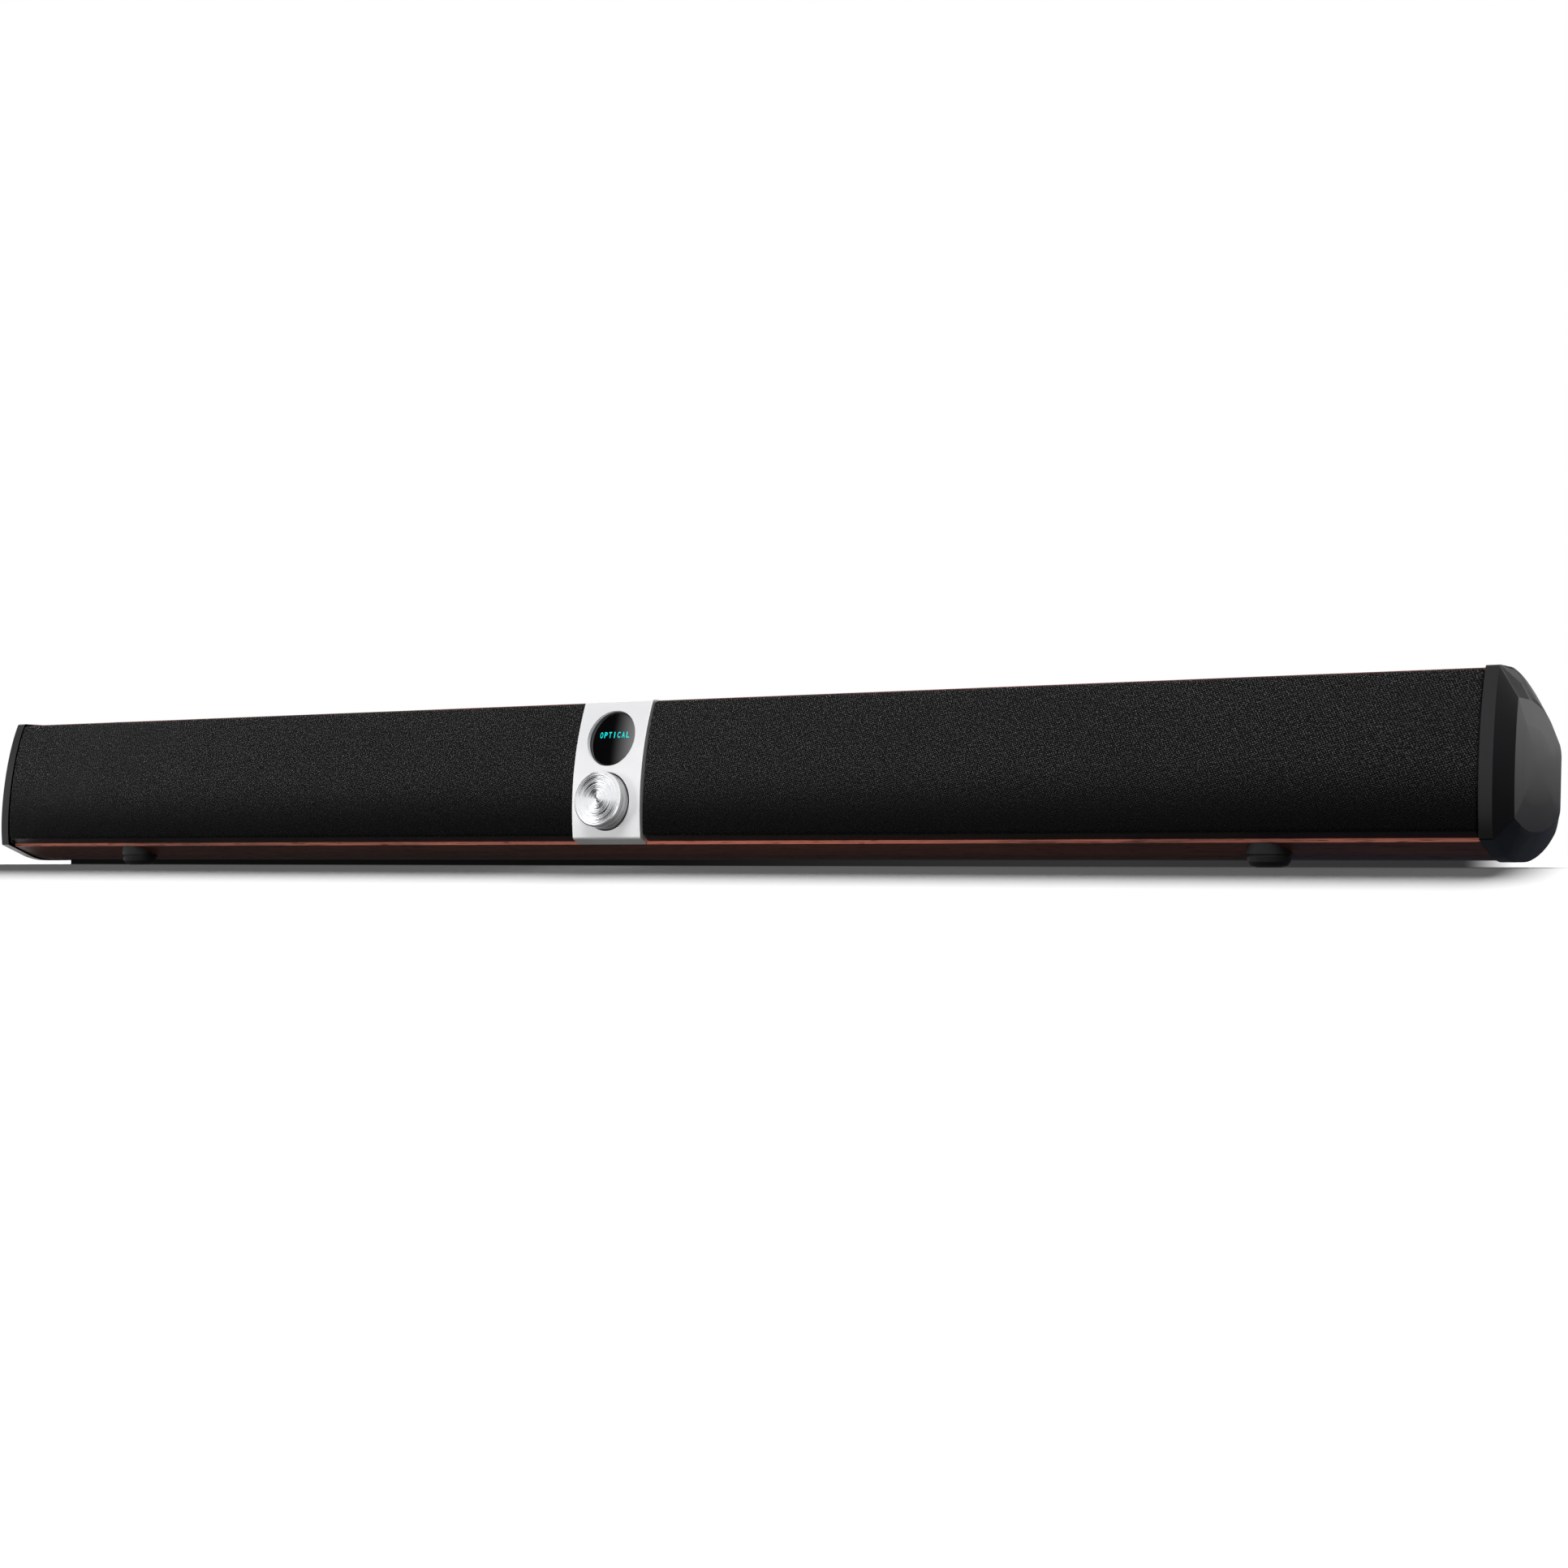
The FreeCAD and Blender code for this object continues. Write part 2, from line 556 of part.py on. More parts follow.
for name, side in (("left", -1), ("right", 1)):
    parts["tweeter_" + name] = on_face(tweeter, side * tweeter_place, face_middle)
    parts["tweeter_dome_" + name] = on_face(dome, side * tweeter_place, face_middle)

# ---- bass ports: flanged tubes that open through the back --------------------------------------------
port = along_y(port_radius + port_wall, body_depth - port_length, body_depth + past, port_place, port_height)
port = port.common(prism(case_outline, -half, half))
port = port.cut(along_y(port_radius, 0, body_depth + past, port_place, port_height))
parts["port_tube_right"] = port
parts["port_tube_left"] = mirrored(port)

# ---- rear housing: a tray let into the underside and back, with a recessed bay for the sockets -------
side_wall = housing_width / 2
housing = box(-side_wall, side_wall, housing_front, housing_back, housing_floor, housing_top)
upright = [e for e in housing.Edges if abs(e.tangentAt(e.FirstParameter).z) > 0.9]
housing = housing.makeFillet(housing_radius, upright)
base = [e for e in housing.Edges if e.BoundBox.ZMax < housing_floor + 0.01]
housing = housing.makeChamfer(housing_chamfer, base)
housing = housing.cut(box(-side_wall + housing_wall, side_wall - housing_wall, housing_front + housing_wall,
                          housing_back - housing_wall, housing_floor + housing_wall, housing_top + 5))
bay_front = housing_back - bay_depth
plate_back = bay_front - plate_thickness
socket_level = (bay_low + bay_high) / 2
plate_screw_x = bay_width / 2 - plate_screw_inset
frame_block = box(-bay_width / 2 - bay_wall, bay_width / 2 + bay_wall, plate_back - 1,
                  housing_back - housing_wall + 0.1, bay_low - bay_wall, bay_high + bay_wall)
housing = housing.fuse(frame_block)
housing = housing.cut(box(-bay_width / 2, bay_width / 2, plate_back - 5, housing_back + 5, bay_low, bay_high))
ear = box(bay_width / 2 - ear_width, bay_width / 2 + bay_wall, plate_back - ear_depth, plate_back,
          socket_level - ear_half_height, socket_level + ear_half_height)
ear = ear.cut(along_y(screw_radius, bay_front - past, bay_front + past, plate_screw_x, socket_level))
housing = housing.fuse(ear).fuse(mirrored(ear)).cut(lead_slot)
ribbon_slot = box(-ribbon_width / 2 - 2, ribbon_width / 2 + 2, housing_front - 5, housing_front + 6,
                  board_level + board_thickness, board_level + past)
housing = housing.cut(ribbon_slot)
for x in (-100, -20, 20, 100):
    for y in (housing_front + 8, housing_front + 26):
        housing = housing.fuse(disc(post_radius, housing_floor + 1, board_level, x, y))
parts["rear_housing"] = housing.removeSplitter()

# ---- sockets on their plate --------------------------------------------------------------------------
plate = box(-bay_width / 2 + 0.1, bay_width / 2 - 0.1, plate_back, bay_front, bay_low + 0.1, bay_high - 0.1)


def socket(x, width, height, y0, y1):
    return box(x - width / 2, x + width / 2, y0, y1, socket_level - height / 2, socket_level + height / 2)


inlet_x, optical_x, rca_x = -54.0, -8.0, (24.0, 42.0, 60.0)
inlet_face = bay_front + 1.0
inlet = socket(inlet_x, 26, 16, bay_front - 17, bay_front - plate_thickness)
inlet = inlet.fuse(socket(inlet_x, 24, 14, bay_front - 10, inlet_face))
inlet = inlet.cut(socket(inlet_x, 18.5, 9.5, bay_front - 12, inlet_face + 1))
for side in (-1, 1):
    inlet = inlet.fuse(along_y(1.2, bay_front - 13, bay_front - 1.5, inlet_x + side * 5.0, socket_level))
parts["mains_inlet"] = inlet
optical = socket(optical_x, 15, 15, bay_front - 15, bay_front - plate_thickness)
optical = optical.fuse(socket(optical_x, 13, 13, bay_front - 10, inlet_face))
optical = optical.cut(socket(optical_x, 9.4, 9.4, bay_front - 9, inlet_face + 1))
parts["optical_jack"] = optical
jacks = []
for x in rca_x:
    jack = socket(x, 12, 14, bay_front - 14, bay_front - plate_thickness)
    jack = jack.fuse(along_y(4.15, bay_front - 4, bay_front + 8, x, socket_level))
    jacks.append(jack.cut(along_y(1.7, bay_front - 8, bay_front + 9, x, socket_level)))
    plate = plate.cut(along_y(4.25, plate_back - 1, bay_front + 1, x, socket_level))
parts["rca_jacks"] = Part.makeCompound(jacks)
plate = plate.cut(socket(inlet_x, 24.2, 14.2, plate_back - 1, bay_front + 1))
plate = plate.cut(socket(optical_x, 13.2, 13.2, plate_back - 1, bay_front + 1))

# ---- screws: the same pan-head screw holds the feet and the socket plate -----------------------------
screw = disc(screw_radius - 0.03, -screw_length, 0.05).fuse(disc(screw_head_radius, 0, screw_head))
screw = screw.cut(box(-0.5, 0.5, -2.2, 2.2, screw_head - 0.8, screw_head + 1))
screws = []
for side in (-1, 1):
    turned_down = screw.copy().rotate(Vector(0, 0, 0), Vector(1, 0, 0), 180)
    turned_down.translate(Vector(side * foot_spacing / 2, foot_setback, foot_screw_seat))
    screws.append(turned_down)
    facing_back = screw.copy().rotate(Vector(0, 0, 0), Vector(1, 0, 0), -90)
    facing_back.translate(Vector(side * plate_screw_x, bay_front, socket_level))
    screws.append(facing_back)
    plate = plate.cut(along_y(screw_radius, plate_back - 1, bay_front + 1, side * plate_screw_x,
                              socket_level))
parts["case_screws"] = Part.makeCompound(screws)
parts["jack_plate"] = plate

# ---- circuit boards ----------------------------------------------------------------------------------
board_top = board_level + board_thickness
board_y = (housing_front + housing_wall + 0.5, plate_back - 2.0)
part_back = plate_back - ear_depth - 0.8
main = box(-11, 108, board_y[0], board_y[1], board_level, board_top)
main = main.fuse(box(12, 28, lead_line - 4.5, lead_line + 4.5, board_top - 0.1, max(lead_levels) + 3))
for x in (40.0, 54.0):
    main = main.fuse(disc(4.5, board_top - 0.1, board_top + 16, x, lead_line + 7.4))
parts["main_board"] = main
power = box(-111, -14, board_y[0], board_y[1], board_level, board_top)
power = power.fuse(box(-104, -76, lead_line + 4, part_back, board_top - 0.1, board_top + 20))
for x in (-35.0, -22.0):
    power = power.fuse(disc(5.0, board_top - 0.1, board_top + 22, x, lead_line + 12.0))
parts["power_board"] = power
sink = box(74, 104, lead_line + 4, part_back, board_top, board_top + 22)
for i in range(5):
    x = 77.5 + i * 5.4
    sink = sink.cut(box(x, x + 3.2, 0, 200, board_top + 3.5, board_top + 40))
parts["heat_sink"] = sink

# ---- leads and ribbon --------------------------------------------------------------------------------
leads = []
for side in (-1, 1):
    reaches = ((woofer_places[0], basket_back - magnet_depth), (woofer_places[1], basket_back - magnet_depth),
               (tweeter_place, seat - tweeter_back))
    for level, (place, back) in zip(lead_levels, reaches):
        end = face_point(side * place, face_middle, back)
        corner = Vector(side * place, lead_line, level)
        start = Vector(20 + side * 8, lead_line, level)
        before_end = Vector(end.x, end.y + 14, end.z)
        leads.append(lead([start, corner, before_end, end], lead_radius, lead_bend))
parts["speaker_leads"] = Part.makeCompound(leads)
ribbon_start = face_point(0, 14, board_front - board_thickness)
ribbon_top = ribbon_start.z
ribbon_floor = board_top + 0.1
ribbon_line = [(ribbon_start.y + 0.2, ribbon_top), (ribbon_start.y + 24, ribbon_top),
               (housing_front - 6, ribbon_floor), (board_y[0] + 4, ribbon_floor)]
bends = (0.1, ribbon_bend, ribbon_bend, 0.1)
ribbon_corners = [(y, z, r) for (y, z), r in zip(ribbon_line, bends)]
ribbon_corners += [(y, z + ribbon_thickness, r) for (y, z), r in zip(ribbon_line[::-1], bends)]
parts["panel_ribbon"] = prism(rounded(ribbon_corners), -ribbon_width / 2, ribbon_width / 2)

# ---- feet and pads -----------------------------------------------------------------------------------
foot = turned([(0, 0), (foot_sole_radius, 0), (foot_radius - 1.9, 0.9), (foot_radius - 0.7, 2.6),
               (foot_radius - 0.2, 4.8), (foot_radius - 0.9, 5.1), (foot_radius - 0.9, 5.9),
               (foot_radius, 6.2), (foot_radius, 16), (0, 16)])
foot = foot.cut(disc(screw_radius + 0.1, -1, past)).cut(disc(screw_head_radius + 0.4, -1, foot_screw_seat))
for name, side in (("left", -1), ("right", 1)):
    placed = foot.copy()
    placed.translate(Vector(side * foot_spacing / 2, foot_setback, 0))
    parts["foot_" + name] = placed.cut(prism(case_outline, -half, half))
pads = []
for side in (-1, 1):
    x = side * (housing_width / 2 - pad_size[0] / 2 - pad_inset)
    y = (housing_front + housing_back) / 2
    pads.append(box(x - pad_size[0] / 2, x + pad_size[0] / 2, y - pad_size[1] / 2, y + pad_size[1] / 2,
                    0, housing_floor))
parts["rear_pads"] = Part.makeCompound(pads)

# ---- one file per piece, with the origin on the floor under the middle of the whole ------------------
whole = Part.makeCompound(list(parts.values())).optimalBoundingBox(True, False)
origin = Vector((whole.XMin + whole.XMax) / 2, (whole.YMin + whole.YMax) / 2, whole.ZMin)
for name, shape in parts.items():
    shape = shape.copy()
    shape.translate(origin * -1)
    shape.exportStep("parts/%s.step" % name)
    print(name, len(shape.Solids), round(shape.Volume, 1), shape.isValid())
print("size", whole.XLength, whole.YLength, whole.ZLength, "origin", origin, "pieces", len(parts))
print("knob axis at", face_point(0, knob_rise, 0) - origin, "front plane lean", lean)
print("face frame at", face_low - origin, "height", face_height)
print("display up", display_up, "out", display_out, "tip", display_tip)
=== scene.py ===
import bpy
import bmesh
import math
from mathutils import Matrix, Vector


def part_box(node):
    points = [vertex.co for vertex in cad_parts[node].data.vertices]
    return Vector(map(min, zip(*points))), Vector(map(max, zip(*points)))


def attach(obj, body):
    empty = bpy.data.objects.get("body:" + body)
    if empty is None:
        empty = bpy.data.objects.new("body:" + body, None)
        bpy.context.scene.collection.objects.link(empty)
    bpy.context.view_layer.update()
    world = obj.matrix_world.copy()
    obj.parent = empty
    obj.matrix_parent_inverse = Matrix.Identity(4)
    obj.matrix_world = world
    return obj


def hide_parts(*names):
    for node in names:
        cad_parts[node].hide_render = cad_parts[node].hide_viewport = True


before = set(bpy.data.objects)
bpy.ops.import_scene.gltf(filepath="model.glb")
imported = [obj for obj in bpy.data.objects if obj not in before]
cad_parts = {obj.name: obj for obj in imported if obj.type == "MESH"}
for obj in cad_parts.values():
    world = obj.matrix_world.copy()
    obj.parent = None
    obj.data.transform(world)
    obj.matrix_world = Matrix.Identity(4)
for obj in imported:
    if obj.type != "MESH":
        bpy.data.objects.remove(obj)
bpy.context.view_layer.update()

# ---- case shell ----
# The case is a long box of fibre board, folded round the top, back and underside and wrapped in walnut
# foil whose grain runs along its length. It is open at the front and glued to the two end panels.


class Signal:
    """One output of a shader node, so that shader maths reads as plain arithmetic."""

    def __init__(self, finish, socket):
        self.finish = finish
        self.socket = socket

    def joined(self, operation, first, second):
        several = any(isinstance(value, (tuple, Vector)) or
                      isinstance(value, Signal) and value.socket.type != "VALUE" for value in (first, second))
        kind = "VectorMath" if several else "Math"
        values = [(value,) * 3 if several and isinstance(value, (int, float)) else value
                  for value in (first, second)]
        return self.finish.node(kind, {"operation": operation}, {0: values[0], 1: values[1]})

    def __add__(self, other): return self.joined("ADD", self, other)
    def __radd__(self, other): return self.joined("ADD", other, self)
    def __sub__(self, other): return self.joined("SUBTRACT", self, other)
    def __rsub__(self, other): return self.joined("SUBTRACT", other, self)
    def __mul__(self, other): return self.joined("MULTIPLY", self, other)
    def __truediv__(self, other): return self.joined("DIVIDE", self, other)
    def __pow__(self, other): return self.joined("POWER", self, other)
    def __gt__(self, other): return self.joined("GREATER_THAN", self, other)
    def __lt__(self, other): return self.joined("LESS_THAN", self, other)

    def dot(self, other):
        return self.finish.node("VectorMath", {"operation": "DOT_PRODUCT"}, {0: self, 1: other}, "Value")

    def cross(self, other):
        return self.finish.node("VectorMath", {"operation": "CROSS_PRODUCT"}, {0: self, 1: other})

    def length(self):
        return self.finish.node("VectorMath", {"operation": "LENGTH"}, {0: self}, "Value")

    def unit(self):
        return self.finish.node("VectorMath", {"operation": "NORMALIZE"}, {0: self})

    def wave(self, period):
        """A smooth ripple from 0 to 1, one crest to each period."""
        turn = self * (math.tau / period)
        return self.finish.node("Math", {"operation": "SINE"}, {0: turn}) * 0.5 + 0.5

    def between(self, low, high):
        """0 below low, 1 above high, and eased from one to the other."""
        return self.finish.node("MapRange", {"interpolation_type": "SMOOTHSTEP"},
                                {"Value": self, "From Min": low, "From Max": high})


class Finish:
    """A material. Plain numbers and colours are set on its sockets, and Signals are linked to them."""

    def __init__(self, name, looks=None):
        self.material = bpy.data.materials.new(name)
        self.material.use_nodes = True
        self.tree = self.material.node_tree
        self.shader = self.tree.nodes["Principled BSDF"]
        self.set(looks or {})

    def give(self, socket, value):
        if isinstance(value, Signal):
            self.tree.links.new(value.socket, socket)
        elif socket.type == "RGBA":
            socket.default_value = (*value[:3], 1.0)
        else:
            socket.default_value = value

    def set(self, looks):
        for name, value in looks.items():
            self.give(self.shader.inputs[name], value)
        return self

    def node(self, kind, settings=None, values=None, output=0):
        made = self.tree.nodes.new("ShaderNode" + kind)
        for name, setting in (settings or {}).items():
            setattr(made, name, setting)
        for name, value in (values or {}).items():
            self.give(made.inputs[name], value)
        return Signal(self, made.outputs[output])

    def place(self, scale=(1, 1, 1), shift=(0, 0, 0)):
        """Where a point is on the object, stretched and shifted."""
        at = self.node("TexCoord", output="Object")
        return self.node("Mapping", {}, {"Vector": at, "Location": shift, "Scale": scale})

    def axes(self, where):
        return [self.node("SeparateXYZ", {}, {0: where}, output) for output in range(3)]

    def cloud(self, where, scale, detail=2.0, rough=0.5):
        return self.node("TexNoise", {}, {"Vector": where, "Scale": scale, "Detail": detail,
                                          "Roughness": rough})

    def cells(self, where, scale, kind="F1"):
        return self.node("TexVoronoi", {"feature": kind}, {"Vector": where, "Scale": scale}, "Distance")

    def mix(self, share, low, high):
        return self.node("Mix", {"data_type": "RGBA"}, {0: share, 6: low, 7: high}, 2)

    def relief(self, height, depth):
        return self.node("Bump", {}, {"Height": height, "Distance": depth})


def dress(finish, *nodes):
    for name in nodes:
        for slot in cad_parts[name].material_slots:
            slot.material = finish.material


walnut = Finish("walnut_foil", {"Specular IOR Level": 0.28, "Coat Roughness": 0.28, "Coat IOR": 1.4})
figure = walnut.cloud(walnut.place((5.0, 70.0, 70.0)), 1.0, 3.0, 0.55)
streaks = walnut.cloud(walnut.place((26.0, 620.0, 620.0)), 1.0, 4.0, 0.62)
pores = walnut.cloud(walnut.place((90.0, 2400.0, 2400.0), (3.0, 1.0, 0.0)), 1.0, 1.0).between(0.60, 0.70)
tone = (figure * 0.55 + streaks * 0.55).between(0.30, 0.82)
heart = walnut.mix(tone, (0.058, 0.0175, 0.0125), (0.330, 0.100, 0.066))
walnut.set({"Base Color": walnut.mix(pores * 0.75, heart, (0.008, 0.003, 0.0025)),
            "Roughness": 0.36 + streaks * 0.16 + pores * 0.2,
            "Coat Weight": 0.14 - pores * 0.12,
            "Normal": walnut.relief(streaks * 0.5 - pores, 0.00006)})
dress(walnut, "cabinet_shell")

# ---- end panels, dividers and baffle ----
# Flat panels of medium-density fibre board, sawn and routed, left raw because nobody sees them. They are
# glued into the shell, and the baffle closes its front and carries the drivers.

board = Finish("fibre_board", {"Specular IOR Level": 0.25})
fibres = board.cloud(board.place((1.0, 1.0, 1.0)), 900.0, 4.0, 0.7)
clumps = board.cloud(board.place(), 140.0, 3.0)
board.set({"Base Color": board.mix((fibres * 0.6 + clumps * 0.4).between(0.32, 0.68),
                                   (0.20, 0.115, 0.058), (0.42, 0.28, 0.165)),
           "Roughness": 0.82 + fibres * 0.14,
           "Normal": board.relief(fibres, 0.00008)})
dress(board, "end_panel_left", "end_panel_right", "chamber_dividers", "front_baffle")

# ---- end gaskets ----
# Thin rings of closed-cell foam, die-cut to the outline of the case. They are stuck between the shell and
# the end caps, so that the caps don't buzz.

foam = Finish("cell_foam", {"Sheen Weight": 0.2, "Sheen Roughness": 0.6})
bubbles = foam.cells(foam.place(), 1600.0)
foam.set({"Base Color": foam.mix(bubbles.between(0.1, 0.7), (0.022, 0.022, 0.023), (0.006, 0.006, 0.006)),
          "Roughness": 0.80 + bubbles * 0.15,
          "Normal": foam.relief(bubbles, 0.00015)})
dress(foam, "end_gaskets")

# ---- woofers ----
# Four small drivers screwed to the baffle from the front. Each has a pressed basket with a powder coat, a
# ferrite magnet, a pressed paper cone with its dust cap, and a rolled rubber surround.

powder = Finish("powder_coat", {"Specular IOR Level": 0.4})
peel = powder.cloud(powder.place(), 1400.0, 2.0)
powder.set({"Base Color": powder.mix(peel.between(0.3, 0.7), (0.013, 0.013, 0.014), (0.022, 0.022, 0.023)),
            "Roughness": 0.44 + peel * 0.18,
            "Normal": powder.relief(peel, 0.00010)})

ferrite = Finish("ferrite", {"Specular IOR Level": 0.5})
sinter = ferrite.cloud(ferrite.place(), 2600.0, 4.0, 0.7)
ground = ferrite.cloud(ferrite.place((40.0, 1500.0, 1500.0)), 1.0, 2.0)
ferrite.set({"Base Color": ferrite.mix(sinter.between(0.35, 0.7), (0.030, 0.030, 0.033), (0.085, 0.084, 0.088)),
             "Metallic": sinter.between(0.45, 0.62) * 0.5,
             "Roughness": 0.38 + ground * 0.3,
             "Normal": ferrite.relief(sinter, 0.00005)})

pulp = Finish("paper_pulp", {"Specular IOR Level": 0.25, "Sheen Weight": 0.15, "Sheen Roughness": 0.5})
matted = pulp.cloud(pulp.place((1.0, 1.0, 2.6)), 520.0, 5.0, 0.72)
strands = pulp.cells(pulp.place((700.0, 700.0, 240.0)), 1.0, "DISTANCE_TO_EDGE")
pulp.set({"Base Color": pulp.mix(matted.between(0.3, 0.75), (0.016, 0.016, 0.017), (0.050, 0.049, 0.048)),
          "Roughness": 0.70 + matted * 0.22,
          "Normal": pulp.relief(matted + strands.between(0.0, 0.08) * 0.4, 0.00012)})

rubber = Finish("soft_rubber", {"Specular IOR Level": 0.5, "Sheen Weight": 0.1})
bloom = rubber.cloud(rubber.place(), 60.0, 4.0, 0.6)
skin = rubber.cloud(rubber.place(), 3500.0, 2.0)
rubber.set({"Base Color": rubber.mix(bloom.between(0.35, 0.8), (0.009, 0.009, 0.010), (0.020, 0.020, 0.021)),
            "Roughness": 0.42 + bloom * 0.22,
            "Normal": rubber.relief(skin, 0.00003)})
for number in range(1, 5):
    dress(powder, f"woofer_frame_{number}")
    dress(ferrite, f"woofer_magnet_{number}")
    dress(pulp, f"woofer_cone_{number}")
    dress(rubber, f"woofer_surround_{number}")

# ---- tweeters ----
# A dome driver near each end, in a moulded plastic body pushed into the baffle. The dome is woven silk,
# pressed to shape and painted with a damping lacquer that leaves the weave showing.

moulded = Finish("moulded_plastic", {"Specular IOR Level": 0.4})
spark = moulded.cloud(moulded.place(), 3800.0, 3.0, 0.6)
flow = moulded.cloud(moulded.place(), 35.0, 2.0)
moulded.set({"Base Color": moulded.mix(flow.between(0.3, 0.7), (0.0095, 0.0095, 0.010), (0.015, 0.015, 0.016)),
             "Roughness": 0.34 + spark * 0.16 + flow * 0.06,
             "Normal": moulded.relief(spark, 0.00004)})
dress(moulded, "tweeter_left", "tweeter_right")

silk = Finish("dome_silk", {"Sheen Weight": 0.35, "Sheen Roughness": 0.35, "Specular IOR Level": 0.4})
silk_x, _, silk_z = silk.axes(silk.place())
threads = silk_x.wave(0.00042) * silk_z.wave(0.00042)
silk.set({"Base Color": silk.mix(threads, (0.006, 0.006, 0.007), (0.030, 0.029, 0.030)),
          "Roughness": 0.40 + threads * 0.25,
          "Normal": silk.relief(threads, 0.00006)})
dress(silk, "tweeter_dome_left", "tweeter_dome_right")

# ---- bass ports ----
# Two straight moulded tubes pushed through holes in the back board. Their flared rims are polished and
# their bores keep the fine rings of the turned mould.

port = Finish("port_plastic", {"Specular IOR Level": 0.45})
_, port_y, _ = port.axes(port.place())
rings = port_y.wave(0.0006)
scuff = port.cloud(port.place(), 240.0, 4.0)
port.set({"Base Color": port.mix(scuff.between(0.4, 0.8), (0.010, 0.010, 0.011), (0.020, 0.020, 0.021)),
          "Roughness": 0.30 + scuff * 0.25,
          "Normal": port.relief(rings, 0.00002)})
dress(port, "port_tube_left", "port_tube_right")

# ---- rear housing and socket plate ----
# One deep moulding drops into the back of the case and holds the electronics. Its surface is spark-eroded,
# and a thin steel plate with baked satin paint carries the sockets in a recess.

eroded = Finish("spark_eroded_plastic", {"Specular IOR Level": 0.4})
pits = eroded.cells(eroded.place(), 2300.0)
shade = eroded.cloud(eroded.place(), 28.0, 3.0)
eroded.set({"Base Color": eroded.mix(shade.between(0.3, 0.7), (0.011, 0.011, 0.012), (0.018, 0.018, 0.019)),
            "Roughness": 0.46 + shade * 0.12,
            "Normal": eroded.relief(pits, 0.00008)})
dress(eroded, "rear_housing")

baked = Finish("baked_satin_paint", {"Specular IOR Level": 0.45})
drawn = baked.cloud(baked.place((60.0, 2600.0, 2600.0)), 1.0, 3.0)
baked.set({"Base Color": baked.mix(drawn, (0.016, 0.016, 0.017), (0.028, 0.028, 0.029)),
           "Roughness": 0.33 + drawn * 0.15,
           "Normal": baked.relief(drawn, 0.00002)})
dress(baked, "jack_plate")

# ---- sockets ----
# A two-pin mains inlet and an optical socket in glass-filled plastic, and three phono sockets whose
# insulators are coloured, round nickel-plated barrels. All stand on the boards behind the plate.

filled = Finish("glass_filled_plastic", {"Specular IOR Level": 0.4})
whisker = filled.cloud(filled.place((1.0, 1.0, 3.0)), 1500.0, 4.0, 0.7)
filled.set({"Base Color": filled.mix(whisker.between(0.4, 0.75), (0.011, 0.011, 0.012), (0.030, 0.030, 0.031)),
            "Roughness": 0.40 + whisker * 0.22,
            "Normal": filled.relief(whisker, 0.00005)})
dress(filled, "mains_inlet", "optical_jack", "knob_hub", "encoder_body", "display_module")

phono = Finish("phono_insulators", {"Specular IOR Level": 0.5})
phono_low, phono_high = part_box("rca_jacks")
phono_x, _, phono_z = phono.axes(phono.place())
third = (phono_high.x - phono_low.x) / 3
middle = (phono_low.x + phono_high.x) / 2
height = (phono_low.z + phono_high.z) / 2
white, red, black = (0.62, 0.61, 0.57), (0.42, 0.012, 0.014), (0.012, 0.012, 0.013)
insulator = phono.mix(phono_x > middle + third / 2, phono.mix(phono_x > middle - third / 2, white, red), black)
cell = phono.node("Math", {"operation": "FRACT"}, {0: (phono_x - middle + third * 1.5) / third}) - 0.5
from_barrel = ((cell * third) ** 2 + (phono_z - height) ** 2) ** 0.5
barrel = 1 - from_barrel.between(0.0040, 0.0043)
plating = phono.cloud(phono.place(), 900.0, 3.0)
phono.set({"Base Color": phono.mix(barrel, insulator, (0.62, 0.60, 0.56)),
           "Metallic": barrel,
           "Roughness": 0.26 + plating * 0.22})
dress(phono, "rca_jacks")

# ---- screws, spindle and nut ----
# Small zinc-plated screws hold the feet and the socket plate. The spindle of the control and its nut are
# turned from free-cutting steel, with fine tool marks left round them.

zinc = Finish("plated_steel", {"Metallic": 1.0})
spangle = zinc.cloud(zinc.place(), 700.0, 4.0, 0.6)
marks = zinc.cloud(zinc.place((200.0, 4200.0, 200.0)), 1.0, 2.0)
zinc.set({"Base Color": zinc.mix(spangle.between(0.3, 0.7), (0.46, 0.47, 0.49), (0.62, 0.62, 0.61)),
          "Roughness": 0.26 + marks * 0.2,
          "Normal": zinc.relief(marks, 0.00002)})
dress(zinc, "case_screws", "encoder_shaft", "encoder_nut")

# ---- boards and heat sink ----
# Glass-fibre circuit boards with a green solder mask over copper tracks, screwed to posts in the housing.
# The amplifier's heat sink is extruded aluminium with a thin clear oxide.

mask = Finish("solder_mask", {"Specular IOR Level": 0.5, "Coat Roughness": 0.15})
tracks = mask.cells(mask.place((420.0, 420.0, 420.0)), 1.0, "DISTANCE_TO_EDGE").between(0.05, 0.075)
pads = 1 - mask.cells(mask.place((260.0, 260.0, 260.0), (0.3, 0.7, 0.1)), 1.0).between(0.17, 0.20)
weft = mask.cloud(mask.place(), 2200.0, 2.0)
laid = mask.mix(tracks, (0.012, 0.105, 0.040), (0.006, 0.048, 0.020))
mask.set({"Base Color": mask.mix(pads, laid, (0.55, 0.55, 0.52)),
          "Metallic": pads * 0.9,
          "Roughness": 0.28 + weft * 0.16,
          "Coat Weight": 0.4 - pads * 0.4,
          "Normal": mask.relief(pads * 0.5 - tracks * 0.5, 0.00006)})
dress(mask, "control_board", "main_board", "power_board")

